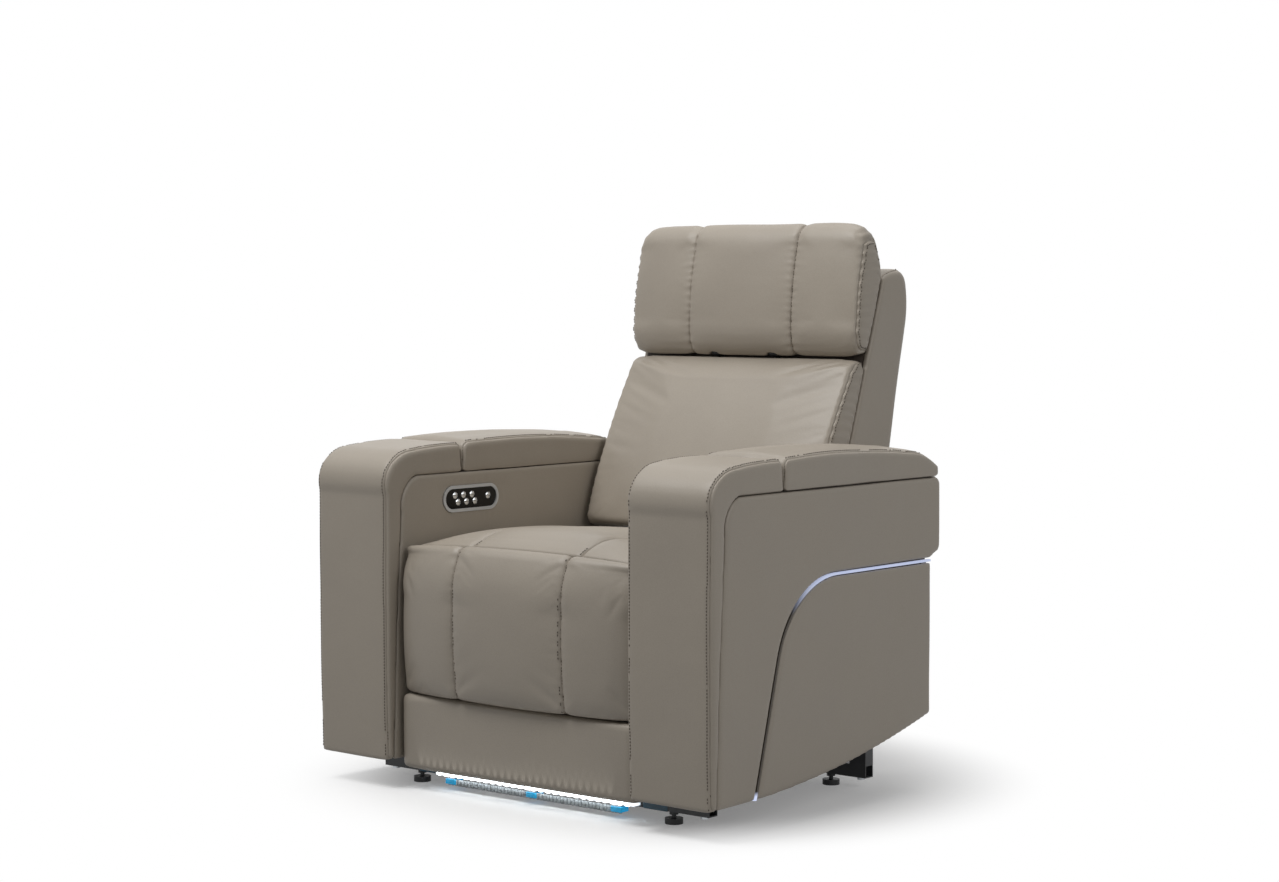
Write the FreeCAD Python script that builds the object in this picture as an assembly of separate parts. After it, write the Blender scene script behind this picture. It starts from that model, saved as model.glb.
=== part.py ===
import FreeCAD, Part
import math
import os

# Cinema recliner seat in millimetres, +Z up. The seat faces -Y and the sitter's left is +X.
# Places along the depth are written as y, measured backwards from the front of the arms.
# The finished parts are moved so that the origin is on the floor, under the middle of the seat.

# Overall sizes
OVERALL_WIDTH = 940.0
OVERALL_DEPTH = 868.0
ARM_WIDTH = 184.0
FIT = 0.3                      # gap between faces that slide, swing or press past each other
BORE_FIT = 0.05                # radial gap of a pin in its bore

# Sheet and board thicknesses
PLY = 12.0
PLATE = 5.0
PAD = 9.0                      # upholstered panel on the outside of an arm
INNER_PAD = 8.0
TUBE_WALL = 2.0

# Base under the seat
TUBE = 24.0
FOOT_IN_ARM = 18.0              # from an arm's inner face to the middle of its feet
FOOT_RADIUS = 16.0
FOOT_PAD = 10.0
STEM_RADIUS = 4.0
NUT_RADIUS = 8.0
NUT_HEIGHT = 6.0
TUBE_BOTTOM = 22.0
FRONT_TUBE_Y = 98.0
REAR_TUBE_Y = 563.0
BRACKET_IN_ARM = 86.0
BRACKET_HALF = 18.0
BOLT_RADIUS = 4.0
BOLT_HEAD_RADIUS = 7.0
BOLT_HEAD = 5.0
BOLT_BITE = 10.0
HOLE_FIT = 0.3

# Glide rails that the seat carriage runs on
RAIL_CLEARANCE = 6.0
RAIL_WIDTH = 28.0
RAIL_HEIGHT = 34.0
RAIL_WALL = 3.0
RAIL_LIP = 6.0
RAIL_FRONT_Y = 90.0
RAIL_REAR_Y = 600.0
SHOE_FRONT_Y = 240.0
SHOE_REAR_Y = 540.0
SHOE_LENGTH = 40.0
SHOE_NECK = 12.0

# Light bar under the front
BAR_END_ROOM = 46.0
BAR_DEPTH = 16.0
BAR_BOTTOM = 24.0
BAR_HEIGHT = 13.0
BAR_WALL = 1.5
CLIP_FROM_END = 40.0
CLIP_HALF_WIDTH = 9.0
CLIP_THICKNESS = 3.0

# Power supply on the rear tube
SUPPLY_HALF_WIDTH = 80.0
SUPPLY_FRONT_Y = 530.0
SUPPLY_REAR_Y = 590.0
SUPPLY_HEIGHT = 40.0
INLET_RADIUS = 3.2
INLET_DEPTH = 12.0

# Arm, seen from the side
ARM_TOP = 577.0
ARM_BOTTOM_FRONT = (22.0, 55.5)
ARM_BOTTOM_MIDDLE = (350.0, 77.0)
ARM_BOTTOM_REAR = (657.0, 141.0)
ARM_LOWER_REAR_Y = 657.0
ARM_UPPER_REAR_Y = 687.0
ARM_STEP_Z = 434.0
REAR_PAD = 9.0
PANEL_INSET = 3.0              # boards stop this far inside the upholstered outline
CREASE = 1.5                   # half of the sewn gap between two arm panels
POST_DEPTH = 20.0
BAND_BACK_GAP = 0.3

# Front band of the arm
BAND_FOOT_DEPTH = 20.0
BAND_MID_DEPTH = 30.0
BAND_SHOULDER_DEPTH = 42.0
BAND_END_Y = 203.0
BAND_TOP_FRONT = 627.0
BAND_TOP_REAR = 634.0

# Light strip along the outer side
SWOOSH_WIDTH = 4.0
SWOOSH_Z = 423.5
SWOOSH_BEND_Y = 363.0
SWOOSH_RADIUS = 178.0
SWOOSH_TURN_DEG = 74.6
SWOOSH_FOOT_Z = 61.0

# Storage bin and lid in each arm
BIN_FRONT_Y = 226.0
BIN_REAR_Y = 638.0
BIN_REBATE = 4.0
BIN_WALL = 3.0
BIN_GAP = 2.0
FLANGE = 8.0
LID_FRONT_Y = 206.0
LID_REAR_Y = 682.0
LID_BOARD = 10.0
LID_TOP_FRONT = 637.0
LID_TOP_REAR = 604.0
LID_CROWN = 6.0
LID_HINGE_Y = 688.0
LID_HINGE_RADIUS = 3.0
KNUCKLE_RADIUS = 5.0
KNUCKLE_LENGTH = 28.0
LEAF = 2.0
LEAF_HEIGHT = 22.0
HINGE_ROOM = 1.0

# Control on the inner face of the right arm
CONTROL_Y = 226.0
CONTROL_Z = 527.0
CONTROL_LENGTH = 151.0
CONTROL_HEIGHT = 50.0
CONTROL_PROUD = 1.5
CONTROL_DEPTH = 17.0
BEZEL_WALL = 6.0
FACE_THICKNESS = 3.0
BUTTON_RADIUS = 6.2
BUTTON_PITCH = 23.0
BUTTON_DROP = 13.0
BUTTON_SHIFT = 8.0
BUTTON_PROUD = 3.0
BUTTON_COLLAR = 1.2
BUTTON_FLANGE = 1.5

# Footrest linkage: two equal links unfold along a line, the footrest turns a quarter turn
LINK_PIVOT = (165.0, 300.0)
LINK_LENGTH = 200.0
LINE_RISE_DEG = 8.0
LINK_FOLDED_DEG = 80.0
LINK_THICKNESS = 5.0
LINK_HALF_WIDTH = 11.0
PIN_RADIUS = 5.0
PLATE_TO_RAIL = 11.0
LINK_GAP = 2.0
LOWER_BAR_PIVOT = (206.0, 300.0)
LOWER_BAR_OFFSET = (14.1, -11.2)
LOWER_BAR_SLACK = 3.6
UPPER_BAR_OFFSET = (-24.3, 13.9)
UPPER_BAR_END = (-19.3, 5.2)
UPPER_BAR_SLACK = 1.5
BAR_HALF_WIDTH = 7.5
BAR_PIN_RADIUS = 3.0
BAR_EYE_WALL = 4.0
TORQUE_TUBE_RADIUS = 9.0
TORQUE_TUBE_OFFSET = (-12.5, 21.7)

# Actuators under the seat
MOTOR_BAR_Y = 350.0
MOTOR_BAR_Z = 108.0
MOTOR_BAR = 20.0
FOOT_ACTUATOR_X = -60.0
FOOT_ACTUATOR_PIVOT = (396.0, 150.0)
FOOT_CRANK = (-22.5, -28.1)
RECLINE_ACTUATOR_X = 60.0
RECLINE_ACTUATOR_PIVOT = (324.0, 150.0)
RECLINE_CRANK = (34.0, -50.0)
ACTUATOR_TUBE_RADIUS = 15.0
ACTUATOR_TUBE_SHARE = 0.62
ACTUATOR_ROD_RADIUS = 5.0
ACTUATOR_EYE_RADIUS = 14.0
ACTUATOR_EYE_HALF = 5.0
ACTUATOR_NECK = 8.0
CRANK_PIN_RADIUS = 4.0
CRANK_SLACK = 4.4
MOTOR_RADIUS = 19.0
MOTOR_LENGTH = 72.0
MOTOR_SET_BACK = 24.0
CLEVIS = 5.0

# Seat carriage
SEAT_CLEARANCE = 6.0            # from the seat's side to the arm
RAIL_TOP_Z = 347.0
CROSS_RAIL = 25.0
FRONT_RAIL_Y = 112.0
FRONT_UPSTAND = 5.0
UPSTAND_TO_BAR = 7.0
FRONT_RAIL_DEPTH = 18.0
REAR_RAIL_Y = 484.0
REAR_RAIL_DEPTH = 16.0
SPRING_COUNT = 5
SPRING_SIDE_ROOM = 68.0
SPRING_SWING = 18.0
SPRING_STEP = 24.0
SPRING_WIRE = 1.9
SPRING_TURNS = 7
SEAT_BODY_FRONT = 119.0
SEAT_REAR = 521.0
SEAT_REAR_Z = 438.0
SEAT_EDGE_Z = 456.0
SEAT_CROWN = 29.0
SEAT_DRAW = 7.0
SEAT_NOSE_Y = 63.0
SEAT_NOSE_Z = 441.0
SIDE_PANEL_WIDTH = 150.0
SEAM_HALF = 12.0
SEAM_DEPTH = 4.0

# Footrest
FOOTREST_BOARD_FRONT = 58.0
FOOTREST_BOARD = 10.0
FOOTREST_CLEARANCE = 7.0
FOOTREST_TOP = 449.0
FOOTREST_SPLIT = 182.0
FOOTREST_EDGE_Y = 26.0
FOOTREST_CROWN = 24.0
FOOTREST_DRAW = 8.0
KICK_TOP = 176.0
KICK_BOTTOM = 40.0
KICK_FRONT_Y = 30.0
FLAP_HINGE = (93.0, 428.0)
FLAP_FRONT_Y = 76.0
FLAP_THICKNESS = 12.0
FLAP_TOP = 414.0
FLAP_BOTTOM = 292.0
FLAP_SIDE_GAP = 2.0
FLAP_KNUCKLE = 5.0

# Back: s runs up the line behind the cushion, n runs forward from it
BACK_HINGE = (585.0, 415.0)
BACK_LINE_FOOT = (605.7, 430.0)
BACK_LEAN_DEG = 18.67
BACK_CLEARANCE = 9.0
BACK_PANEL_FOOT = 4.0
HINGE_EAR_RADIUS = 18.0
HINGE_PIN_RADIUS = 8.0
BACK_CUSHION_FOOT = 5.0
BACK_CUSHION_BELOW_TOP = 178.0
BACK_CUSHION_DRAW = 16.0
LUMBAR_HALF_WIDTH = 120.0
LUMBAR_LOW = 66.0
LUMBAR_HIGH = 186.0
LUMBAR_PLATE = 6.0
LUMBAR_TRAVEL = 25.0
LUMBAR_REST = 2.0
LUMBAR_MARGIN = 8.0
LUMBAR_ROD_RADIUS = 4.0
LUMBAR_ROD_X = 90.0
LUMBAR_ROD_LENGTH = 50.0
SHELL_WALL = 12.0
SHELL_TOP = 960.0
SHELL_TOP_ROUNDING = 13.7       # the front edge of its top lies this far below the top
SHELL_REAR = (                  # depth behind the back's line at the top, and how far below the top
    (77.0, 17.0), (81.8, 60.0), (76.5, 110.0), (44.0, 260.0), (4.0, 460.0),
)
SHELL_CREST_DEPTH = 34.0
SHELL_REAR_LOW = (752.0, 300.0)
SHELL_FRONT_LOW = (664.0, 322.0)

# Headrest
HEADREST_PIVOT_BELOW_TOP = 160.0
HEADREST_PIVOT_AHEAD = 22.7     # of the line behind the back cushion
HEADREST_CLEARANCE = 6.0
HEADREST_ABOVE_SHELL = 90.0
HEADREST_FOOT_BELOW_TOP = 166.0
HEADREST_REAR_LOW = 157.0
HEADREST_REAR_HIGH = 20.0
HEADREST_CROWN = 7.0
HEADREST_CORNER = 42.0
HEADREST_GAP = 2.5
TAB_X = 70.0
TAB_BELOW_TOP = 173.0
TAB_ROOT = 24.0
TAB_HALF = 4.0
TAB_EYE_RADIUS = 9.0
TAB_PIN_RADIUS = 4.0
EAR_THICKNESS = 4.0
BRACKET_PLATE = 4.0
BRACKET_RISE = 22.0
POCKET_GAP = 3.0

# Values worked out from those above
OUTER_X = OVERALL_WIDTH / 2
INNER_X = OUTER_X - ARM_WIDTH
INNER_BOARD_X = INNER_X + INNER_PAD
FOOT_X = INNER_X + FOOT_IN_ARM
BRACKET_X = INNER_X + BRACKET_IN_ARM
RAIL_OUTER_X = INNER_X - RAIL_CLEARANCE
RAIL_INNER_X = RAIL_OUTER_X - RAIL_WIDTH
PLATE_INNER_X = RAIL_INNER_X - PLATE_TO_RAIL - PLATE
BAR_HALF_LENGTH = INNER_X - BAR_END_ROOM
CLIP_X = BAR_HALF_LENGTH - CLIP_FROM_END
SEAT_HALF_WIDTH = INNER_X - SEAT_CLEARANCE
SEAM_X = SEAT_HALF_WIDTH - SIDE_PANEL_WIDTH
FOOTREST_HALF_WIDTH = INNER_X - FOOTREST_CLEARANCE
BACK_HALF_WIDTH = INNER_X - BACK_CLEARANCE
HEADREST_HALF_WIDTH = INNER_X - HEADREST_CLEARANCE
SPRING_PITCH_X = 2 * (PLATE_INNER_X - SPRING_SIDE_ROOM) / (SPRING_COUNT - 1)
OUTER_BOARD_X = OUTER_X - PAD - PLY
TUBE_TOP = TUBE_BOTTOM + TUBE
LINE_RISE = math.radians(LINE_RISE_DEG)
FOLDED = math.radians(LINK_FOLDED_DEG)
BACK_LEAN = math.radians(BACK_LEAN_DEG)
LINK_1_X = PLATE_INNER_X - LINK_GAP - LINK_THICKNESS
LINK_2_X = LINK_1_X - LINK_GAP - LINK_THICKNESS
LOWER_BAR_X = LINK_2_X - LINK_GAP - LINK_THICKNESS
UPSTAND_HALF_WIDTH = LOWER_BAR_X - UPSTAND_TO_BAR
FLAP_HALF_WIDTH = UPSTAND_HALF_WIDTH - FLAP_SIDE_GAP
SEAT_BOTTOM = RAIL_TOP_Z + 2 * SPRING_WIRE + FIT
BIN_DEPTH = ARM_TOP - ARM_STEP_Z - FIT
SHELL_TOP_RISE = SHELL_TOP - SHELL_TOP_ROUNDING - BACK_LINE_FOOT[1]
SHELL_TOP_ALONG = float(round(SHELL_TOP_RISE / math.cos(BACK_LEAN)))
SHELL_LINE_Y = float(round(BACK_LINE_FOOT[0] + (SHELL_TOP - BACK_LINE_FOOT[1]) * math.tan(BACK_LEAN)))
BACK_CUSHION_TOP = SHELL_TOP_ALONG - BACK_CUSHION_BELOW_TOP
HEADREST_TOP = SHELL_TOP + HEADREST_ABOVE_SHELL
HEADREST_FOOT = SHELL_TOP - HEADREST_FOOT_BELOW_TOP
HEADREST_PIVOT_Z = SHELL_TOP - HEADREST_PIVOT_BELOW_TOP
HEADREST_LINE_Y = BACK_LINE_FOOT[0] + (HEADREST_PIVOT_Z - BACK_LINE_FOOT[1]) * math.tan(BACK_LEAN)
HEADREST_PIVOT = (float(round(HEADREST_LINE_Y - HEADREST_PIVOT_AHEAD)), HEADREST_PIVOT_Z)
BRACKET_TOP = HEADREST_PIVOT_Z + BRACKET_RISE
BACK_PANEL_HALF_WIDTH = BACK_HALF_WIDTH - SHELL_WALL - 2 * FIT
BACK_PANEL_TOP = SHELL_TOP_ALONG - SHELL_WALL - FIT
SWOOSH_TURN = math.radians(SWOOSH_TURN_DEG)


# Geometry helpers

def point(x, y, z):
    return FreeCAD.Vector(x, y, z)


def box(x0, x1, y0, y1, z0, z1):
    return Part.makeBox(x1 - x0, y1 - y0, z1 - z0, point(x0, y0, z0))


def rod_x(x0, x1, centre, radius):
    return Part.makeCylinder(radius, x1 - x0, point(x0, *centre), point(1, 0, 0))


def rod_z(x, y, z0, z1, radius):
    return Part.makeCylinder(radius, z1 - z0, point(x, y, z0))


def mirrored(shape):
    return shape.mirror(point(0, 0, 0), point(1, 0, 0))


def both_sides(shape):
    return [shape, mirrored(shape)]


def turned(vector, angle):
    """A (y, z) pair turned from +Y towards +Z."""
    y, z = vector
    return (y * math.cos(angle) - z * math.sin(angle), y * math.sin(angle) + z * math.cos(angle))


def added(first, second):
    return (first[0] + second[0], first[1] + second[1])


def circle_centre(a, b, c):
    d = 2 * (a[0] * (b[1] - c[1]) + b[0] * (c[1] - a[1]) + c[0] * (a[1] - b[1]))
    squares = [p[0] ** 2 + p[1] ** 2 for p in (a, b, c)]
    y = (squares[0] * (b[1] - c[1]) + squares[1] * (c[1] - a[1]) + squares[2] * (a[1] - b[1])) / d
    z = (squares[0] * (c[0] - b[0]) + squares[1] * (a[0] - c[0]) + squares[2] * (b[0] - a[0])) / d
    return (y, z)


def unit(vector):
    length = math.hypot(*vector)
    return (vector[0] / length, vector[1] / length)


class Outline:
    """A closed (y, z) outline of lines and arcs. A point's give says how much of a swell it follows."""

    def __init__(self, start, give=0.0):
        self.points = [start]
        self.gives = [give]
        self.middles = []

    def line(self, end, give=0.0):
        self.middles.append(None)
        self.points.append(end)
        self.gives.append(give)
        return self

    def arc(self, middle, end, give=1.0):
        self.middles.append(middle)
        self.points.append(end)
        self.gives.append(give)
        return self

    def close(self):
        self.middles.append(None)
        return self

    def tangents(self, index):
        """The directions of travel at the start, middle and end of one side."""
        start = self.points[index]
        end = self.points[(index + 1) % len(self.points)]
        middle = self.middles[index]
        if middle is None:
            along = unit((end[0] - start[0], end[1] - start[1]))
            return along, along, along
        centre = circle_centre(start, middle, end)
        cross = (middle[0] - start[0]) * (end[1] - start[1]) - (middle[1] - start[1]) * (end[0] - start[0])
        sense = 1 if cross > 0 else -1
        found = []
        for place in (start, middle, end):
            radial = unit((place[0] - centre[0], place[1] - centre[1]))
            found.append((-sense * radial[1], sense * radial[0]))
        return tuple(found)

    def anticlockwise(self):
        area = 0.0
        count = len(self.points)
        for index in range(count):
            y0, z0 = self.points[index]
            y1, z1 = self.points[(index + 1) % count]
            area += y0 * z1 - y1 * z0
        return area > 0

    def wire(self, x, swell=0.0):
        """The outline at one x, with its points moved outwards by the swell times their give."""
        count = len(self.points)
        side = 1 if self.anticlockwise() else -1
        tangents = [self.tangents(index) for index in range(count)]
        moved = []
        for index in range(count):
            before = tangents[index - 1][2]
            after = tangents[index][0]
            normal = (side * (before[1] + after[1]), -side * (before[0] + after[0]))
            miter = max(0.6, 1 + before[0] * after[0] + before[1] * after[1])
            shift = swell * self.gives[index] / miter
            moved.append(added(self.points[index], (normal[0] * shift, normal[1] * shift)))
        edges = []
        for index in range(count):
            start = point(x, *moved[index])
            end = point(x, *moved[(index + 1) % count])
            middle = self.middles[index]
            if middle is None:
                edges.append(Part.LineSegment(start, end).toShape())
                continue
            along = tangents[index][1]
            give = (self.gives[index] + self.gives[(index + 1) % count]) / 2
            shift = swell * give * side
            middle = added(middle, (along[1] * shift, -along[0] * shift))
            edges.append(Part.Arc(start, point(x, *middle), end).toShape())
        return Part.Wire(edges)

    def slab(self, x0, x1):
        return Part.Face(self.wire(x0)).extrude(point(x1 - x0, 0, 0))


def polygon(points):
    outline = Outline(points[0])
    for place in points[1:]:
        outline.line(place)
    return outline.close()


def loft(wires):
    return Part.makeLoft(wires, True, True)


def fused(shapes):
    result = shapes[0].fuse(list(shapes[1:]))
    return result.removeSplitter()


def bar_between(start, end, half_width, x0, x1):
    """A flat bar with round ends between two (y, z) places."""
    along = unit((end[0] - start[0], end[1] - start[1]))
    across = (-along[1] * half_width, along[0] * half_width)
    back = (-across[0], -across[1])
    corners = [added(start, across), added(end, across), added(end, back), added(start, back)]
    ends = [rod_x(x0, x1, start, half_width), rod_x(x0, x1, end, half_width)]
    return fused([polygon(corners).slab(x0, x1)] + ends)


# Base

def cross_tubes():
    tubes = []
    for front in (FRONT_TUBE_Y, REAR_TUBE_Y):
        length = BRACKET_X + BRACKET_HALF
        outer = box(-length, length, front, front + TUBE, TUBE_BOTTOM, TUBE_TOP)
        inner = box(-length - 1, length + 1, front + TUBE_WALL, front + TUBE - TUBE_WALL,
                    TUBE_BOTTOM + TUBE_WALL, TUBE_TOP - TUBE_WALL)
        tube = outer.cut(inner)
        middle = front + TUBE / 2
        for side in (-1, 1):
            stem = rod_z(side * FOOT_X, middle, 0, TUBE_BOTTOM + TUBE / 2, STEM_RADIUS + HOLE_FIT)
            bolt = rod_z(side * BRACKET_X, middle, 0, TUBE_TOP + 1, BOLT_RADIUS + HOLE_FIT)
            tube = tube.cut(stem).cut(bolt)
        tubes.append(tube)
    return tubes


def levelling_feet():
    feet = []
    for front in (FRONT_TUBE_Y, REAR_TUBE_Y):
        middle = front + TUBE / 2
        for side in (-1, 1):
            pad = rod_z(side * FOOT_X, middle, 0, FOOT_PAD, FOOT_RADIUS)
            nut = rod_z(side * FOOT_X, middle, TUBE_BOTTOM - NUT_HEIGHT, TUBE_BOTTOM, NUT_RADIUS)
            stem = rod_z(side * FOOT_X, middle, FOOT_PAD / 2, TUBE_TOP - TUBE / 2 - TUBE_WALL, STEM_RADIUS)
            feet.append(fused([pad, nut, stem]))
    return feet


def arm_underside(inset=0.0):
    """The arm's curved lower edge, from front to rear, raised by the inset."""
    places = (ARM_BOTTOM_FRONT, ARM_BOTTOM_MIDDLE, ARM_BOTTOM_REAR)
    return [(y, z + inset) for y, z in places]


def underside_height(y, inset=0.0):
    start, middle, end = arm_underside(inset)
    centre = circle_centre(start, middle, end)
    radius = math.hypot(start[0] - centre[0], start[1] - centre[1])
    return centre[1] - math.sqrt(radius ** 2 - (y - centre[0]) ** 2)


def arm_brackets():
    """Hollow steel posts that carry each arm's floor board on the cross tubes."""
    posts = []
    for front in (FRONT_TUBE_Y, REAR_TUBE_Y):
        x0 = BRACKET_X - BRACKET_HALF
        x1 = BRACKET_X + BRACKET_HALF
        top = underside_height(front + TUBE, PANEL_INSET) + 1
        outer = box(x0, x1, front, front + TUBE, TUBE_TOP, top)
        inner = box(x0 + TUBE_WALL, x1 - TUBE_WALL, front + TUBE_WALL, front + TUBE - TUBE_WALL,
                    TUBE_TOP - 1, top + 1)
        post = outer.cut(inner).cut(above_underside(PANEL_INSET, x0 - 1, x1 + 1))
        posts += both_sides(post)
    return posts


def above_underside(inset, x0, x1):
    start, middle, end = arm_underside(inset)
    outline = Outline(start).arc(middle, end).line((end[0], ARM_TOP)).line((start[0], ARM_TOP))
    return outline.close().slab(x0, x1)


def arm_bolts():
    bolts = []
    for front in (FRONT_TUBE_Y, REAR_TUBE_Y):
        middle = front + TUBE / 2
        top = underside_height(middle, PANEL_INSET) + BOLT_BITE
        shank = rod_z(BRACKET_X, middle, TUBE_BOTTOM - BOLT_HEAD / 2, top, BOLT_RADIUS)
        head = rod_z(BRACKET_X, middle, TUBE_BOTTOM - BOLT_HEAD, TUBE_BOTTOM, BOLT_HEAD_RADIUS)
        bolts += both_sides(fused([shank, head]))
    return bolts


def bolt_holes():
    """What the bolts need clear in the right-hand floor board, as a pair of cylinders."""
    holes = []
    for front in (FRONT_TUBE_Y, REAR_TUBE_Y):
        middle = front + TUBE / 2
        top = underside_height(middle, PANEL_INSET) + BOLT_BITE
        holes.append(rod_z(BRACKET_X, middle, TUBE_TOP, top, BOLT_RADIUS))
    return holes


def glide_rails():
    outer = box(RAIL_INNER_X, RAIL_OUTER_X, RAIL_FRONT_Y, RAIL_REAR_Y, TUBE_TOP, TUBE_TOP + RAIL_HEIGHT)
    low = TUBE_TOP + RAIL_WALL
    high = TUBE_TOP + RAIL_HEIGHT - RAIL_WALL
    inside = box(RAIL_INNER_X + RAIL_WALL, RAIL_OUTER_X - RAIL_WALL, RAIL_FRONT_Y - 1, RAIL_REAR_Y + 1,
                 low, high)
    mouth = box(RAIL_INNER_X - 1, RAIL_INNER_X + RAIL_WALL, RAIL_FRONT_Y - 1, RAIL_REAR_Y + 1,
                low + RAIL_LIP, high - RAIL_LIP)
    return both_sides(outer.cut(inside).cut(mouth))


def light_bar_channel():
    front = FRONT_TUBE_Y - BAR_DEPTH
    top = BAR_BOTTOM + BAR_HEIGHT
    outer = box(-BAR_HALF_LENGTH, BAR_HALF_LENGTH, front, FRONT_TUBE_Y, BAR_BOTTOM, top)
    inner = box(-BAR_HALF_LENGTH - 1, BAR_HALF_LENGTH + 1, front - 1, FRONT_TUBE_Y - BAR_WALL,
                BAR_BOTTOM + BAR_WALL, top - BAR_WALL)
    pieces = [outer.cut(inner)]
    for x in (-CLIP_X, 0.0, CLIP_X):
        pieces.append(box(x - CLIP_HALF_WIDTH, x + CLIP_HALF_WIDTH, front - CLIP_THICKNESS, FRONT_TUBE_Y,
                          BAR_BOTTOM - CLIP_THICKNESS, BAR_BOTTOM))
    return [fused(pieces)]


def light_bar_diffuser():
    front = FRONT_TUBE_Y - BAR_DEPTH
    return [box(-BAR_HALF_LENGTH + BAR_WALL, BAR_HALF_LENGTH - BAR_WALL, front - BAR_WALL,
                FRONT_TUBE_Y - 2 * BAR_WALL, BAR_BOTTOM + BAR_WALL, BAR_BOTTOM + BAR_HEIGHT - BAR_WALL)]


def power_supply():
    case = box(-SUPPLY_HALF_WIDTH, SUPPLY_HALF_WIDTH, SUPPLY_FRONT_Y, SUPPLY_REAR_Y,
               TUBE_TOP, TUBE_TOP + SUPPLY_HEIGHT)
    upright = [edge for edge in case.Edges if abs(edge.tangentAt(edge.FirstParameter).z) > 0.9]
    case = case.makeFillet(BEZEL_WALL, upright)
    inlet = Part.makeCylinder(INLET_RADIUS, INLET_DEPTH,
                              point(SUPPLY_HALF_WIDTH / 2, SUPPLY_REAR_Y - INLET_DEPTH,
                                    TUBE_TOP + SUPPLY_HEIGHT / 2), point(0, 1, 0))
    return [case.cut(inlet)]


# Arms, all drawn on the +X side

def swoosh(shift):
    """The sweeping seam on the outer side, from its rear end to its foot, moved up and forward."""
    radius = SWOOSH_RADIUS + shift
    centre = (SWOOSH_BEND_Y, SWOOSH_Z - SWOOSH_RADIUS)
    middle = math.pi / 2 + SWOOSH_TURN / 2
    end = math.pi / 2 + SWOOSH_TURN
    bend_end = added(centre, (radius * math.cos(end), radius * math.sin(end)))
    slope = math.tan(math.pi / 2 - SWOOSH_TURN)
    foot_y = bend_end[0] - (bend_end[1] - SWOOSH_FOOT_Z) * slope
    return {
        "rear": (ARM_UPPER_REAR_Y, SWOOSH_Z + shift),
        "straight_end": (SWOOSH_BEND_Y, SWOOSH_Z + shift),
        "bend_middle": added(centre, (radius * math.cos(middle), radius * math.sin(middle))),
        "bend_end": bend_end,
        "foot": (foot_y, underside_height(foot_y)),
    }


def band_back(gap):
    """The rear edge of the front band, foot to top, moved back by the gap."""
    return {
        "foot": (BAND_FOOT_DEPTH + gap, underside_height(BAND_FOOT_DEPTH + gap + 4)),
        "middle": (BAND_MID_DEPTH - 1 + gap, 300.0),
        "shoulder": (BAND_SHOULDER_DEPTH + gap, 510.0),
        "bend": (BAND_SHOULDER_DEPTH + 11 + gap * 0.8, 558.0 - gap),
        "top": (BAND_SHOULDER_DEPTH + 38 + gap * 0.3, ARM_TOP - gap),
    }


def arm_front_band():
    back = band_back(0.0)
    outline = Outline((4.0, 53.0), 1.0)
    outline.arc((0.0, 300.0), (0.5, 545.0), 1.0)
    outline.arc((6.0, 592.0), (27.0, 613.0), 1.0)
    outline.arc((44.0, 622.0), (66.0, BAND_TOP_FRONT), 1.0)
    outline.arc((130.0, 632.5), (BAND_END_Y - 12, BAND_TOP_REAR), 1.0)
    outline.arc((BAND_END_Y - 3, 631.0), (BAND_END_Y, 622.0), 1.0)
    outline.line((BAND_END_Y, ARM_TOP), 0.0)
    outline.line(back["top"], 0.0)
    outline.arc(back["bend"], back["shoulder"], 0.0)
    outline.arc(back["middle"], back["foot"], 0.0)
    outline.close()
    stations = ((0.0, -9.0), (3.0, -4.0), (10.0, -0.5), (26.0, 0.0), (ARM_WIDTH / 2, 0.0))
    wires = [outline.wire(INNER_X + x, swell) for x, swell in stations]
    wires += [outline.wire(OUTER_X - x, swell) for x, swell in reversed(stations[:-1])]
    return loft(wires)


def closed_along_band(outline):
    """Finish an arm outline forward along its top and down the rear edge of the front band."""
    back = band_back(BAND_BACK_GAP)
    outline.line(back["top"], 1.0)
    outline.arc(back["bend"], back["shoulder"], 1.0)
    outline.arc(back["middle"], outline.points[0], 1.0)
    outline.points.pop()
    outline.gives.pop()
    return outline


def upper_side_outline():
    seam = swoosh(SWOOSH_WIDTH / 2 + CREASE)
    outline = Outline(band_back(BAND_BACK_GAP)["foot"], 1.0)
    outline.line(seam["foot"], 1.0)
    outline.line(seam["bend_end"], 1.0)
    outline.arc(seam["bend_middle"], seam["straight_end"], 1.0)
    outline.line((ARM_LOWER_REAR_Y, ARM_STEP_Z - 6), 1.0)
    outline.line((ARM_UPPER_REAR_Y - 16, ARM_STEP_Z + 2), 1.0)
    outline.arc((ARM_UPPER_REAR_Y - 4, ARM_STEP_Z + 7), (ARM_UPPER_REAR_Y, ARM_STEP_Z + 20), 1.0)
    outline.line((ARM_UPPER_REAR_Y, ARM_TOP - 16), 1.0)
    outline.arc((ARM_UPPER_REAR_Y - 4, ARM_TOP - 5), (ARM_UPPER_REAR_Y - 14, ARM_TOP), 1.0)
    return closed_along_band(outline)


def lower_side_outline():
    seam = swoosh(-SWOOSH_WIDTH / 2 - CREASE)
    bottom = arm_underside()
    outline = Outline(seam["foot"], 1.0)
    outline.arc(bottom[1], (ARM_LOWER_REAR_Y - 7, bottom[2][1] - 2), 1.0)
    outline.arc((ARM_LOWER_REAR_Y - 1, bottom[2][1] + 1), (ARM_LOWER_REAR_Y, bottom[2][1] + 9), 1.0)
    outline.line((ARM_LOWER_REAR_Y, seam["rear"][1]), 1.0)
    outline.line(seam["straight_end"], 1.0)
    outline.arc(seam["bend_middle"], seam["bend_end"], 1.0)
    return outline.close()


def padded_panel(outline, depth):
    """An upholstered panel on the outer board, with its edge drawn in."""
    inner = OUTER_X - depth
    stations = ((0.0, 0.0), (depth * 0.55, 0.0), (depth * 0.85, -1.6), (depth, -5.0))
    return loft([outline.wire(inner + x, swell) for x, swell in stations])


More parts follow.
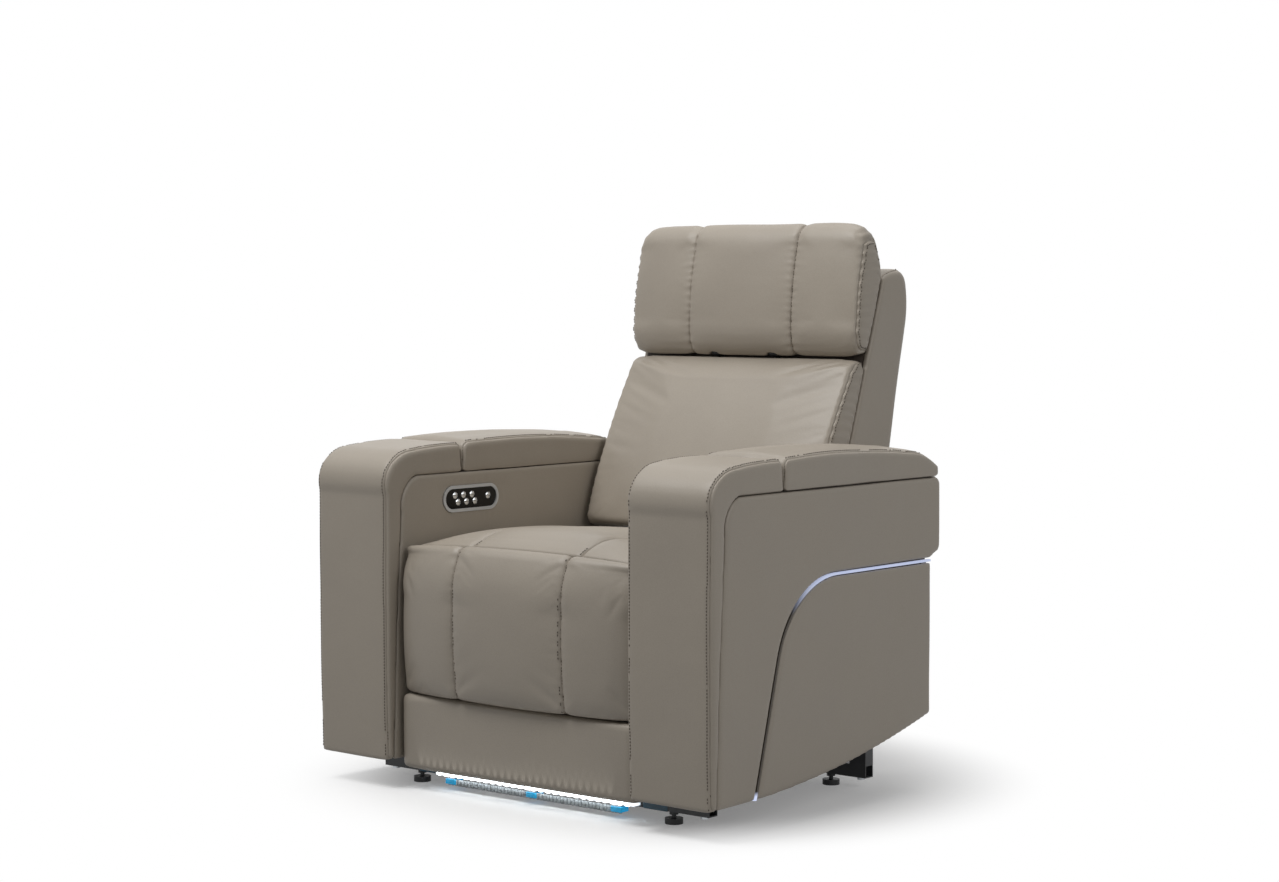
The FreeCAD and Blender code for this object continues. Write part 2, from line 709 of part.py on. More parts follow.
def side_light_strip():
    """A clear tube held in the seam between the two outer panels."""
    high = swoosh(SWOOSH_WIDTH / 2)
    low = swoosh(-SWOOSH_WIDTH / 2)
    outline = Outline(high["foot"])
    outline.line(high["bend_end"])
    outline.arc(high["bend_middle"], high["straight_end"])
    outline.line((ARM_LOWER_REAR_Y, high["rear"][1]))
    outline.line((ARM_LOWER_REAR_Y, low["rear"][1]))
    outline.line(low["straight_end"])
    outline.arc(low["bend_middle"], low["bend_end"])
    outline.line(low["foot"])
    return outline.close().slab(OUTER_X - PAD, OUTER_X - 2.0)


def board_outline(inset):
    """A side board of an arm. Its front follows the band and its underside is raised by the inset."""
    front = band_back(BAND_BACK_GAP)["foot"][0] + FIT
    low_rear = ARM_LOWER_REAR_Y - REAR_PAD - PLY
    high_rear = ARM_UPPER_REAR_Y - REAR_PAD - PLY
    outline = Outline((front, underside_height(front, inset)))
    outline.arc(arm_underside(inset)[1], (low_rear, underside_height(low_rear, inset)))
    outline.line((low_rear, ARM_STEP_Z))
    outline.line((high_rear, ARM_STEP_Z))
    outline.line((high_rear, ARM_TOP))
    return closed_along_band(outline)


def front_post(x0, x1):
    """The block behind the band, standing on the floor board."""
    back = band_back(BAND_BACK_GAP)
    front = back["foot"][0] + FIT
    rear = back["shoulder"][0] + POST_DEPTH
    start = (front, underside_height(front, PANEL_INSET) + PLY)
    outline = Outline(start)
    outline.line((rear, underside_height(rear, PANEL_INSET) + PLY))
    outline.line((rear, back["shoulder"][1]))
    outline.line(back["shoulder"])
    outline.arc(back["middle"], start)
    outline.points.pop()
    outline.gives.pop()
    return outline.slab(x0, x1)


def arm_frame():
    outline = board_outline(PANEL_INSET)
    rebate = bin_flange()
    inner = outline.slab(INNER_BOARD_X, INNER_BOARD_X + PLY).cut(rebate)
    outer = outline.slab(OUTER_BOARD_X, OUTER_BOARD_X + PLY).cut(rebate)
    x0 = INNER_BOARD_X + PLY
    x1 = OUTER_BOARD_X
    front = band_back(BAND_BACK_GAP)["foot"][0] + FIT
    low_rear = ARM_LOWER_REAR_Y - REAR_PAD - PLY
    high_rear = ARM_UPPER_REAR_Y - REAR_PAD - PLY
    floor_start = (front, underside_height(front, PANEL_INSET))
    floor_end = (low_rear, underside_height(low_rear, PANEL_INSET))
    middle = arm_underside(PANEL_INSET)[1]
    floor = Outline(floor_start).arc(middle, floor_end).line((floor_end[0], floor_end[1] + PLY))
    floor.arc((middle[0], middle[1] + PLY), (floor_start[0], floor_start[1] + PLY))
    floor = floor.close().slab(x0, x1)
    for hole in bolt_holes():
        floor = floor.cut(hole)
    rear_low = box(x0, x1, low_rear - PLY, low_rear, floor_end[1] + PLY, ARM_STEP_Z - PLY)
    step = box(x0, x1, low_rear - PLY, high_rear, ARM_STEP_Z - PLY, ARM_STEP_Z)
    rear_high = box(x0, x1, high_rear - PLY, high_rear, ARM_STEP_Z, ARM_TOP)
    return [inner, outer, front_post(x0, x1), floor, rear_low, step, rear_high]


def arm_rear_panels():
    """Upholstered boards that close the rear of an arm, below and above the step."""
    x0 = INNER_X
    x1 = OUTER_X - PAD
    low_front = ARM_LOWER_REAR_Y - REAR_PAD - PLY
    high_front = ARM_UPPER_REAR_Y - REAR_PAD - PLY
    low = box(x0, x1, low_front, ARM_LOWER_REAR_Y, underside_height(low_front, PANEL_INSET), ARM_STEP_Z - PLY)
    high = box(x0, x1, high_front, ARM_UPPER_REAR_Y, ARM_STEP_Z, ARM_TOP)
    pieces = []
    for panel in (low, high):
        rear_edges = [edge for edge in panel.Edges
                      if edge.BoundBox.YMin > panel.BoundBox.YMax - 0.01 and edge.BoundBox.XLength < 1]
        pieces.append(panel.makeFillet(INNER_PAD / 2, rear_edges))
    middle = (INNER_X + OUTER_X) / 2
    half = KNUCKLE_LENGTH / 2 + FIT
    leaf = box(middle - half, middle + half, high_front - 1, high_front + LEAF + FIT,
               ARM_TOP - LEAF_HEIGHT - FIT, ARM_TOP + 1)
    reach = box(middle - half, middle + half, high_front - 1, ARM_UPPER_REAR_Y + 1,
                ARM_TOP - KNUCKLE_RADIUS - FIT, ARM_TOP + 1)
    half += KNUCKLE_LENGTH + FIT
    sweep = rod_x(middle - half, middle + half, (LID_HINGE_Y, ARM_TOP), KNUCKLE_RADIUS + HINGE_ROOM)
    pieces[1] = pieces[1].cut(leaf).cut(reach).cut(sweep)
    return pieces


def arm_inner_panel():
    return board_outline(0.0).slab(INNER_X, INNER_BOARD_X)


def bin_span():
    return INNER_BOARD_X + PLY + BIN_GAP, OUTER_BOARD_X - BIN_GAP


def bin_flange():
    x0, x1 = bin_span()
    reach = BIN_GAP + BIN_REBATE
    return box(x0 - reach, x1 + reach, BIN_FRONT_Y, BIN_REAR_Y, ARM_TOP - BIN_WALL, ARM_TOP)


def storage_bin():
    """An open moulded tub whose flange lies in rebates of the arm's two side boards."""
    x0, x1 = bin_span()
    bottom = ARM_TOP - BIN_DEPTH
    tub = box(x0 + FLANGE, x1 - FLANGE, BIN_FRONT_Y + FLANGE, BIN_REAR_Y - FLANGE, bottom, ARM_TOP)
    upright = [edge for edge in tub.Edges if abs(edge.tangentAt(edge.FirstParameter).z) > 0.9]
    tub = tub.makeFillet(FLANGE * 1.5, upright)
    inside = box(x0 + FLANGE + BIN_WALL, x1 - FLANGE - BIN_WALL, BIN_FRONT_Y + FLANGE + BIN_WALL,
                 BIN_REAR_Y - FLANGE - BIN_WALL, bottom + BIN_WALL, ARM_TOP + 1)
    upright = [edge for edge in inside.Edges if abs(edge.tangentAt(edge.FirstParameter).z) > 0.9]
    inside = inside.makeFillet(FLANGE * 1.5 - BIN_WALL, upright)
    return [fused([tub, bin_flange()]).cut(inside)]


def lid_board():
    low = ARM_TOP + FIT
    board = box(INNER_X + 4, OUTER_X - 4, LID_FRONT_Y + 4, LID_REAR_Y - 4, low, low + LID_BOARD)
    return [fused([board] + lid_knuckles(moving=True))]


def lid_knuckles(moving):
    """Hinge knuckles and leaves. The lid has the outer pair, the arm the middle one with its pin."""
    middle = (INNER_X + OUTER_X) / 2
    centre = (LID_HINGE_Y, ARM_TOP)
    pieces = []
    if moving:
        for side in (-1, 1):
            near = middle + side * (KNUCKLE_LENGTH / 2 + FIT)
            far = near + side * KNUCKLE_LENGTH
            x0, x1 = min(near, far), max(near, far)
            knuckle = rod_x(x0, x1, centre, KNUCKLE_RADIUS)
            leaf = box(x0, x1, LID_REAR_Y - 6, LID_HINGE_Y, ARM_TOP + FIT, ARM_TOP + FIT + LEAF)
            bore = rod_x(x0 - 1, x1 + 1, centre, LID_HINGE_RADIUS + BORE_FIT)
            pieces.append(fused([knuckle, leaf]).cut(bore))
        return pieces
    x0 = middle - KNUCKLE_LENGTH / 2
    x1 = middle + KNUCKLE_LENGTH / 2
    knuckle = rod_x(x0, x1, centre, KNUCKLE_RADIUS)
    pin = rod_x(x0 - KNUCKLE_LENGTH, x1 + KNUCKLE_LENGTH, centre, LID_HINGE_RADIUS)
    rear = ARM_UPPER_REAR_Y - REAR_PAD - PLY
    plate = box(x0, x1, rear, rear + LEAF, ARM_TOP - LEAF_HEIGHT, ARM_TOP)
    arm = box(x0, x1, rear, LID_HINGE_Y, ARM_TOP - KNUCKLE_RADIUS, ARM_TOP - KNUCKLE_RADIUS + LEAF)
    return [fused([knuckle, pin, plate, arm])]


def lid_pad():
    low = ARM_TOP + FIT + LID_BOARD
    outline = Outline((LID_FRONT_Y, low), 0.0)
    outline.line((LID_FRONT_Y, low + 30), 0.3)
    outline.arc((LID_FRONT_Y + 5, LID_TOP_FRONT - 6), (LID_FRONT_Y + 20, LID_TOP_FRONT), 1.0)
    outline.arc((400.0, LID_TOP_FRONT + 3), (590.0, LID_TOP_FRONT - 8), 1.0)
    outline.arc((655.0, LID_TOP_REAR + 10), (LID_REAR_Y, LID_TOP_REAR - 8), 0.4)
    outline.line((LID_REAR_Y, low), 0.0)
    outline.close()
    stations = ((0.0, -9.0), (3.0, -4.5), (10.0, -1.0), (30.0, 2.0), (ARM_WIDTH / 2, LID_CROWN))
    wires = [outline.wire(INNER_X + x, swell) for x, swell in stations]
    wires += [outline.wire(OUTER_X - x, swell) for x, swell in reversed(stations[:-1])]
    return [loft(wires)]


# Control on the right arm, drawn on the +X side and mirrored with that arm

def stadium(length, height, x0, x1):
    half = height / 2
    reach = length / 2 - half
    left = CONTROL_Y - reach
    right = CONTROL_Y + reach
    outline = Outline((left, CONTROL_Z - half))
    outline.line((right, CONTROL_Z - half))
    outline.arc((right + half * 0.7071, CONTROL_Z - half * 0.7071), (right + half, CONTROL_Z))
    outline.arc((right + half * 0.7071, CONTROL_Z + half * 0.7071), (right, CONTROL_Z + half))
    outline.line((left, CONTROL_Z + half))
    outline.arc((left - half * 0.7071, CONTROL_Z + half * 0.7071), (left - half, CONTROL_Z))
    outline.arc((left - half * 0.7071, CONTROL_Z - half * 0.7071), (left, CONTROL_Z - half))
    outline.points.pop()
    outline.gives.pop()
    return outline.slab(x0, x1)


def control_hole():
    lip = 2.0
    return stadium(CONTROL_LENGTH - 2 * lip, CONTROL_HEIGHT - 2 * lip, INNER_X - 1, INNER_X + CONTROL_DEPTH)


def control_bezel():
    """A metal rim with a closed cup behind it that sits in the arm's inner board."""
    lip = 2.0
    rim = stadium(CONTROL_LENGTH, CONTROL_HEIGHT, INNER_X - CONTROL_PROUD, INNER_X)
    cup = stadium(CONTROL_LENGTH - 2 * lip, CONTROL_HEIGHT - 2 * lip, INNER_X, INNER_X + CONTROL_DEPTH)
    inside = stadium(CONTROL_LENGTH - 2 * BEZEL_WALL, CONTROL_HEIGHT - 2 * BEZEL_WALL,
                     INNER_X - CONTROL_PROUD - 1, INNER_X + CONTROL_DEPTH - lip)
    return fused([rim, cup]).cut(inside)


def button_places():
    """Three slanted pairs and one single button, as (name, y, z)."""
    names = (("headrest_up", "headrest_down"), ("lumbar_out", "lumbar_in"), ("recline_open", "recline_close"))
    places = []
    for index, (upper, lower) in enumerate(names):
        y = CONTROL_Y - 44.0 + index * BUTTON_PITCH
        places.append((upper, y, CONTROL_Z + BUTTON_DROP / 2))
        places.append((lower, y + BUTTON_SHIFT, CONTROL_Z - BUTTON_DROP / 2))
    places.append(("home", CONTROL_Y + 46.0, CONTROL_Z + 2.0))
    return places


def control_face():
    x0 = INNER_X
    face = stadium(CONTROL_LENGTH - 2 * BEZEL_WALL, CONTROL_HEIGHT - 2 * BEZEL_WALL, x0, x0 + FACE_THICKNESS)
    for _, y, z in button_places():
        face = face.cut(rod_x(x0 - 1, x0 + FACE_THICKNESS + 1, (y, z), BUTTON_RADIUS + BORE_FIT))
    return face


def button(y, z):
    """A domed cap whose flange is caught behind the face."""
    x0 = INNER_X - BUTTON_PROUD
    flange_x = INNER_X + FACE_THICKNESS + FIT
    cap = rod_x(x0 + BUTTON_PROUD * 0.6, flange_x, (y, z), BUTTON_RADIUS)
    radius = (BUTTON_RADIUS ** 2 + (BUTTON_PROUD * 0.6) ** 2) / (2 * BUTTON_PROUD * 0.6)
    dome = Part.makeSphere(radius, point(x0 + radius, y, z))
    dome = dome.common(rod_x(x0 - 1, x0 + BUTTON_PROUD * 0.6, (y, z), BUTTON_RADIUS))
    flange = rod_x(flange_x, flange_x + BUTTON_FLANGE, (y, z), BUTTON_RADIUS + BUTTON_COLLAR)
    return fused([cap, dome, flange])


# Seat carriage and footrest linkage

def line_direction():
    return (-math.cos(LINE_RISE), math.sin(LINE_RISE))


def scaled(vector, length):
    return (vector[0] * length, vector[1] * length)


def link_elbow():
    return added(LINK_PIVOT, scaled(turned(line_direction(), FOLDED), LINK_LENGTH))


def footrest_pivot():
    return added(link_elbow(), scaled(turned(line_direction(), -FOLDED), LINK_LENGTH))


def carriage_side_plates():
    """Steel plates that ride in the glide rails and carry the linkage, cross rails and back hinge."""
    low = TUBE_TOP + RAIL_HEIGHT / 2 - SHOE_NECK / 2
    hinge_y, hinge_z = BACK_HINGE
    pivot_y, pivot_z = LINK_PIVOT
    corners = [
        (SHOE_FRONT_Y - 12, low), (SHOE_REAR_Y + SHOE_LENGTH + 10, low), (hinge_y + 8, 200.0),
        (hinge_y + HINGE_EAR_RADIUS, hinge_z), (hinge_y - HINGE_EAR_RADIUS, hinge_z),
        (SEAT_REAR + 8, RAIL_TOP_Z), (FRONT_RAIL_Y - 14, RAIL_TOP_Z), (FRONT_RAIL_Y - 14, pivot_z + 22),
        (pivot_y - 16, pivot_z), (pivot_y - 14, pivot_z - 18), (SHOE_FRONT_Y - 12, low + 60),
    ]
    x1 = PLATE_INNER_X + PLATE
    plate = polygon(corners).slab(PLATE_INNER_X, x1)
    plate = fused([plate, rod_x(PLATE_INNER_X, x1, BACK_HINGE, HINGE_EAR_RADIUS)])
    plate = plate.cut(rod_x(PLATE_INNER_X - 1, x1 + 1, BACK_HINGE, HINGE_PIN_RADIUS + BORE_FIT))
    plate = plate.cut(rod_x(PLATE_INNER_X - 1, x1 + 1, LINK_PIVOT, PIN_RADIUS + BORE_FIT))
    stub = rod_x(LOWER_BAR_X - LINK_GAP, PLATE_INNER_X, LOWER_BAR_PIVOT, PIN_RADIUS)
    return both_sides(fused([plate, stub]))


def glide_shoes():
    shoes = []
    low = TUBE_TOP + RAIL_WALL + FIT
    high = TUBE_TOP + RAIL_HEIGHT - RAIL_WALL - FIT
    middle = TUBE_TOP + RAIL_HEIGHT / 2
    for y in (SHOE_FRONT_Y, SHOE_REAR_Y):
        block = box(RAIL_INNER_X + RAIL_WALL + FIT, RAIL_OUTER_X - RAIL_WALL - FIT, y, y + SHOE_LENGTH, low, high)
        neck = box(PLATE_INNER_X + PLATE, RAIL_INNER_X + RAIL_WALL + FIT, y, y + SHOE_LENGTH,
                   middle - SHOE_NECK / 2, middle + SHOE_NECK / 2)
        shoes += both_sides(fused([block, neck]))
    return shoes


def seat_cross_rails():
    """Front angle with its upstand, rear rail, and the low bar that carries both actuators."""
    low = RAIL_TOP_Z - CROSS_RAIL
    x = PLATE_INNER_X
    rail = box(-x, x, FRONT_RAIL_Y, FRONT_RAIL_Y + FRONT_RAIL_DEPTH, low, RAIL_TOP_Z)
    upstand_y = FRONT_RAIL_Y - FRONT_UPSTAND
    upstand = box(-UPSTAND_HALF_WIDTH, UPSTAND_HALF_WIDTH, upstand_y, FRONT_RAIL_Y, low, FLAP_HINGE[1] + 4)
    front = fused([rail, upstand])
    rear = box(-x, x, REAR_RAIL_Y, REAR_RAIL_Y + REAR_RAIL_DEPTH, low, RAIL_TOP_Z)
    bar = box(-x, x, MOTOR_BAR_Y, MOTOR_BAR_Y + MOTOR_BAR, MOTOR_BAR_Z, MOTOR_BAR_Z + MOTOR_BAR)
    parts = [bar]
    for x_middle, pivot in ((FOOT_ACTUATOR_X, FOOT_ACTUATOR_PIVOT), (RECLINE_ACTUATOR_X, RECLINE_ACTUATOR_PIVOT)):
        root = (MOTOR_BAR_Y + MOTOR_BAR / 2, MOTOR_BAR_Z + MOTOR_BAR / 2)
        for side in (-1, 1):
            near = x_middle + side * (ACTUATOR_EYE_HALF + FIT)
            far = near + side * CLEVIS
            parts.append(bar_between(root, pivot, MOTOR_BAR / 2, min(near, far), max(near, far)))
        reach = ACTUATOR_EYE_HALF + FIT + CLEVIS / 2
        parts.append(rod_x(x_middle - reach, x_middle + reach, pivot, PIN_RADIUS))
    return [front, rear, fused(parts)]


def flap_knuckles(moving):
    """Piano hinge between the front upstand and the bridge flap, as alternate knuckles."""
    pieces = []
    count = 8
    pitch = 2 * UPSTAND_HALF_WIDTH / count
    for index in range(count):
        if (index % 2 == 0) != moving:
            continue
        x0 = -UPSTAND_HALF_WIDTH + index * pitch + FIT
        pieces.append((x0, x0 + pitch - 2 * FIT))
    return pieces


def seat_springs():
    """Zigzag wire springs hooked over the front and rear rails."""
    springs = []
    front = FRONT_RAIL_Y + FRONT_RAIL_DEPTH / 2
    height = RAIL_TOP_Z + SPRING_WIRE
    span = REAR_RAIL_Y + REAR_RAIL_DEPTH / 2 - front
    lead = (span - 2 * SPRING_TURNS * SPRING_STEP) / 2
    radius = SPRING_STEP / 2
    for index in range(SPRING_COUNT):
        x = (index - (SPRING_COUNT - 1) / 2) * SPRING_PITCH_X
        y = front + lead
        edges = [Part.LineSegment(point(x, front, height), point(x, y - radius, height)).toShape()]
        edges.append(arc_at(x, y - radius, height, x - radius, y, 1))
        side = -1
        last = x - radius
        for turn in range(2 * SPRING_TURNS):
            reach = x + side * SPRING_SWING
            edges.append(Part.LineSegment(point(last, y, height), point(reach, y, height)).toShape())
            edges.append(half_turn(reach, y, height, side))
            y += SPRING_STEP
            last = reach
            side = -side
        edges.append(Part.LineSegment(point(last, y, height), point(x - radius, y, height)).toShape())
        edges.append(arc_at(x - radius, y, height, x, y + radius, 0))
        end = REAR_RAIL_Y + REAR_RAIL_DEPTH / 2
        edges.append(Part.LineSegment(point(x, y + radius, height), point(x, end, height)).toShape())
        path = Part.Wire(edges)
        section = Part.Wire(Part.makeCircle(SPRING_WIRE, point(x, front, height), point(0, 1, 0)))
        springs.append(path.makePipeShell([section], True, False))
    return springs


def arc_at(x0, y0, z, x1, y1, first):
    """A quarter turn between two places in plan. It leaves along Y when first is 1, else along X."""
    share = math.sqrt(0.5)
    if first:
        middle = point(x1 + (x0 - x1) * share, y0 + (y1 - y0) * share, z)
    else:
        middle = point(x0 + (x1 - x0) * share, y1 + (y0 - y1) * share, z)
    return Part.Arc(point(x0, y0, z), middle, point(x1, y1, z)).toShape()


def half_turn(x, y, z, side):
    radius = SPRING_STEP / 2
    share = math.sqrt(0.5) * radius
    return Part.Arc(point(x, y, z), point(x + side * radius, y + radius, z), point(x, y + SPRING_STEP, z)).toShape()


def seat_outline(crown):
    outline = Outline((SEAT_BODY_FRONT, SEAT_BOTTOM))
    outline.line((SEAT_REAR - 14, SEAT_BOTTOM))
    outline.line((SEAT_REAR, SEAT_REAR_Z - 4), 0.5)
    outline.arc((SEAT_REAR - 3, SEAT_REAR_Z + 7), (SEAT_REAR - 14, SEAT_REAR_Z + 12 + 0.2 * crown), 1.0)
    outline.arc((350.0, SEAT_EDGE_Z + 0.75 * crown), (185.0, SEAT_EDGE_Z + crown), 1.0)
    outline.arc((100.0, SEAT_EDGE_Z - 2 + 0.85 * crown), (SEAT_NOSE_Y, SEAT_NOSE_Z + 7 + 0.3 * crown), 0.5)
    outline.line((SEAT_NOSE_Y + 6, SEAT_NOSE_Z), 0.0)
    outline.line((SEAT_BODY_FRONT, SEAT_NOSE_Z), 0.0)
    return outline.close()


def crown_stations(half_width, crown, draw):
    """Places across a cushion with the crown and the draw-in there, with a groove at each sewn seam."""
    half = [
        (SEAM_X / 2, 0.0), (SEAM_X - SEAM_HALF, 0.0), (SEAM_X, -SEAM_DEPTH), (SEAM_X + SEAM_HALF, 0.0),
        (half_width - 90, 0.0), (half_width - 45, 0.0), (half_width - 20, -0.15 * draw),
        (half_width - 7, -0.5 * draw), (half_width, -draw),
    ]
    found = [(0.0, crown, 0.0)]
    for x, swell in half:
        height = crown * (1 - (x / half_width) ** 2.4)
        found.append((x, height, swell))
        found.insert(0, (-x, height, swell))
    return found


def seat_cushion():
    wires = [seat_outline(height).wire(x, swell)
             for x, height, swell in crown_stations(SEAT_HALF_WIDTH, SEAT_CROWN, SEAT_DRAW)]
    return [loft(wires)]


def rear_links():
    """The links nearest the side plates, the torque tube that joins them, and the actuator's crank."""
    elbow = link_elbow()
    x1 = LINK_1_X + LINK_THICKNESS
    link = bar_between(LINK_PIVOT, elbow, LINK_HALF_WIDTH, LINK_1_X, x1)
    bar_pin = added(elbow, UPPER_BAR_OFFSET)
    lug = bar_between(elbow, bar_pin, LINK_HALF_WIDTH * 0.8, LINK_1_X, x1)
    tail = bar_between(LINK_PIVOT, added(LINK_PIVOT, TORQUE_TUBE_OFFSET), LINK_HALF_WIDTH, LINK_1_X, x1)
    link = fused([link, lug, tail]).cut(rod_x(LINK_1_X - 1, x1 + 1, elbow, PIN_RADIUS + BORE_FIT))
    pivot = rod_x(x1 - 1, PLATE_INNER_X + PLATE + 1, LINK_PIVOT, PIN_RADIUS)
    bar_stub = rod_x(x1 - 1, PLATE_INNER_X + PLATE + LINK_GAP, bar_pin, BAR_PIN_RADIUS)
    link = fused([link, pivot, bar_stub])
    tube_centre = added(LINK_PIVOT, TORQUE_TUBE_OFFSET)
    tube = rod_x(-LINK_1_X, LINK_1_X, tube_centre, TORQUE_TUBE_RADIUS)
    crank_pin = added(LINK_PIVOT, FOOT_CRANK)
    parts = [tube]
    for side in (-1, 1):
        near = FOOT_ACTUATOR_X + side * (ACTUATOR_EYE_HALF + 2 * FIT)
        far = near + side * CLEVIS
        parts.append(bar_between(tube_centre, crank_pin, LINK_HALF_WIDTH, min(near, far), max(near, far)))
    reach = ACTUATOR_EYE_HALF + CLEVIS
    parts.append(rod_x(FOOT_ACTUATOR_X - reach, FOOT_ACTUATOR_X + reach, crank_pin, CRANK_PIN_RADIUS))
    return [link, mirrored(link), fused(parts)]


def front_links():
    """The second pair of links, with the pins of both their ends and of the lower control bar."""
    elbow = link_elbow()
    end = footrest_pivot()
    x1 = LINK_2_X + LINK_THICKNESS
    link = bar_between(elbow, end, LINK_HALF_WIDTH, LINK_2_X, x1)
    lug = bar_between(elbow, added(elbow, LOWER_BAR_OFFSET), LINK_HALF_WIDTH * 0.8, LINK_2_X, x1)
    pins = [rod_x(x1 - 1, LINK_1_X + LINK_THICKNESS + 1, elbow, PIN_RADIUS)]
    pins.append(rod_x(x1 - 1, LINK_1_X + LINK_THICKNESS + 1, end, PIN_RADIUS))
    pins.append(rod_x(LOWER_BAR_X - 1, LINK_2_X + 1, added(elbow, LOWER_BAR_OFFSET), BAR_PIN_RADIUS))
    return both_sides(fused([link, lug] + pins))


def lower_control_bars():
    """Bars that keep the front links' angle. Their front eyes are slack."""
    x1 = LOWER_BAR_X + LINK_THICKNESS
    pin = added(link_elbow(), LOWER_BAR_OFFSET)
    eye = BAR_PIN_RADIUS + LOWER_BAR_SLACK
    bar = bar_between(LOWER_BAR_PIVOT, pin, BAR_HALF_WIDTH + 1.5, LOWER_BAR_X, x1)
    bar = fused([bar, rod_x(LOWER_BAR_X, x1, pin, eye + BAR_EYE_WALL)])
    bar = bar.cut(rod_x(LOWER_BAR_X - 1, x1 + 1, pin, eye))
    bar = bar.cut(rod_x(LOWER_BAR_X - 1, x1 + 1, LOWER_BAR_PIVOT, PIN_RADIUS + BORE_FIT))
    return both_sides(bar)


def upper_control_bars():
    """Bars that turn the footrest as the links unfold. Their upper eyes are slack."""
    x0 = PLATE_INNER_X
    x1 = x0 + PLATE
    low = added(link_elbow(), UPPER_BAR_OFFSET)
    high = added(footrest_pivot(), UPPER_BAR_END)
    eye = BAR_PIN_RADIUS + UPPER_BAR_SLACK
    bar = bar_between(low, high, BAR_HALF_WIDTH, x0, x1)
    bar = bar.cut(rod_x(x0 - 1, x1 + 1, high, eye))
    bar = bar.cut(rod_x(x0 - 1, x1 + 1, low, BAR_PIN_RADIUS + BORE_FIT))
    return both_sides(bar)


def footrest_board():
    """Plywood behind the footrest pads, with a steel bracket for the links at each side."""
    rear = FOOTREST_BOARD_FRONT + FOOTREST_BOARD
    board = box(-FOOTREST_HALF_WIDTH + 8, FOOTREST_HALF_WIDTH - 8, FOOTREST_BOARD_FRONT, rear,
                KICK_BOTTOM + 4, SEAT_NOSE_Z - 9)
    end = footrest_pivot()
    x1 = LINK_1_X + LINK_THICKNESS
    pin = added(end, UPPER_BAR_END)
    corners = [(rear, end[1] - 40), (end[0], end[1] - LINK_HALF_WIDTH), (end[0], end[1] + LINK_HALF_WIDTH),
               (rear, end[1] + 40)]
    ear = fused([polygon(corners).slab(LINK_1_X, x1), rod_x(LINK_1_X, x1, end, LINK_HALF_WIDTH)])
    ear = ear.cut(rod_x(LINK_1_X - 1, x1 + 1, end, PIN_RADIUS + BORE_FIT))
    stub = rod_x(x1 - 1, PLATE_INNER_X + PLATE + LINK_GAP, pin, BAR_PIN_RADIUS)
    ear = fused([ear, stub])
    return [fused([board, ear, mirrored(ear)])]


def footrest_outline(crown):
    rear = FOOTREST_BOARD_FRONT
    front = FOOTREST_EDGE_Y - crown
    outline = Outline((rear, FOOTREST_SPLIT))
    outline.line((rear, FOOTREST_TOP - 6), 0.3)
    outline.arc((rear - 12, FOOTREST_TOP + 2 + 0.3 * crown), (front + 15, FOOTREST_TOP - 12 + 0.2 * crown), 1.0)
    outline.arc((front + 2.5, FOOTREST_TOP - 42), (front, FOOTREST_TOP - 90), 1.0)
    outline.arc((front + 0.5, 260.0), (front + 7, FOOTREST_SPLIT + 14), 1.0)
    outline.arc((front + 11, FOOTREST_SPLIT + 4), (front + 22, FOOTREST_SPLIT), 0.6)
    return outline.close()


def footrest_pad():
    wires = [footrest_outline(height).wire(x, swell)
             for x, height, swell in crown_stations(FOOTREST_HALF_WIDTH, FOOTREST_CROWN, FOOTREST_DRAW)]
    return [loft(wires)]


def kick_pad():
    """The plain upholstered panel below the footrest pad."""
    rear = FOOTREST_BOARD_FRONT
    front = KICK_FRONT_Y
    outline = Outline((rear, KICK_BOTTOM))
    outline.line((rear, KICK_TOP))
    outline.line((front + 9, KICK_TOP), 0.5)
    outline.arc((front + 3, KICK_TOP - 3), (front, KICK_TOP - 10), 1.0)
    outline.arc((front - 1, (KICK_TOP + KICK_BOTTOM) / 2), (front, KICK_BOTTOM + 10), 1.0)
    outline.arc((front + 3, KICK_BOTTOM + 3), (front + 9, KICK_BOTTOM), 0.5)
    outline.close()
    half = FOOTREST_HALF_WIDTH
    stations = ((half, -7.0), (half - 4, -2.5), (half - 14, 0.0), (0.0, 2.0))
    wires = [outline.wire(-x, swell) for x, swell in stations]
    wires += [outline.wire(x, swell) for x, swell in reversed(stations[:-1])]
    return [loft(wires)]


def bridge_flap():
    """A padded flap that hangs behind the footrest and closes the gap when it is out."""
    x1 = FLAP_HALF_WIDTH
    rear = FLAP_FRONT_Y + FLAP_THICKNESS
    outline = Outline((rear, FLAP_BOTTOM + 3), 0.0)
    outline.line((rear, FLAP_TOP), 0.0)
    outline.line((FLAP_FRONT_Y + 4, FLAP_TOP), 0.5)
    outline.line((FLAP_FRONT_Y, FLAP_TOP - 5), 1.0)
    outline.line((FLAP_FRONT_Y, FLAP_BOTTOM + 5), 1.0)
    outline.line((FLAP_FRONT_Y + 4, FLAP_BOTTOM), 0.5)
    outline.line((rear - 3, FLAP_BOTTOM), 0.0)
    outline.close()
    pad = loft([outline.wire(x, swell) for x, swell in
                ((-x1, -2.0), (-x1 + 6, 0.0), (x1 - 6, 0.0), (x1, -2.0))])
    leaf = box(-x1, x1, rear, rear + LEAF, FLAP_TOP - 40, FLAP_HINGE[1])
    pieces = [pad, leaf]
    for x0, far in flap_knuckles(moving=True):
        knuckle = rod_x(x0, far, FLAP_HINGE, FLAP_KNUCKLE)
        pieces.append(knuckle)
    flap = fused(pieces)
    for x0, far in flap_knuckles(moving=False):
        gap = box(x0 - 2 * FIT, far + 2 * FIT, rear - 1, rear + LEAF + 8, FLAP_TOP, FLAP_HINGE[1] + 10)
        flap = flap.cut(gap)
    return [flap.cut(rod_x(-x1 - 9, x1 + 9, FLAP_HINGE, BAR_PIN_RADIUS + BORE_FIT))]


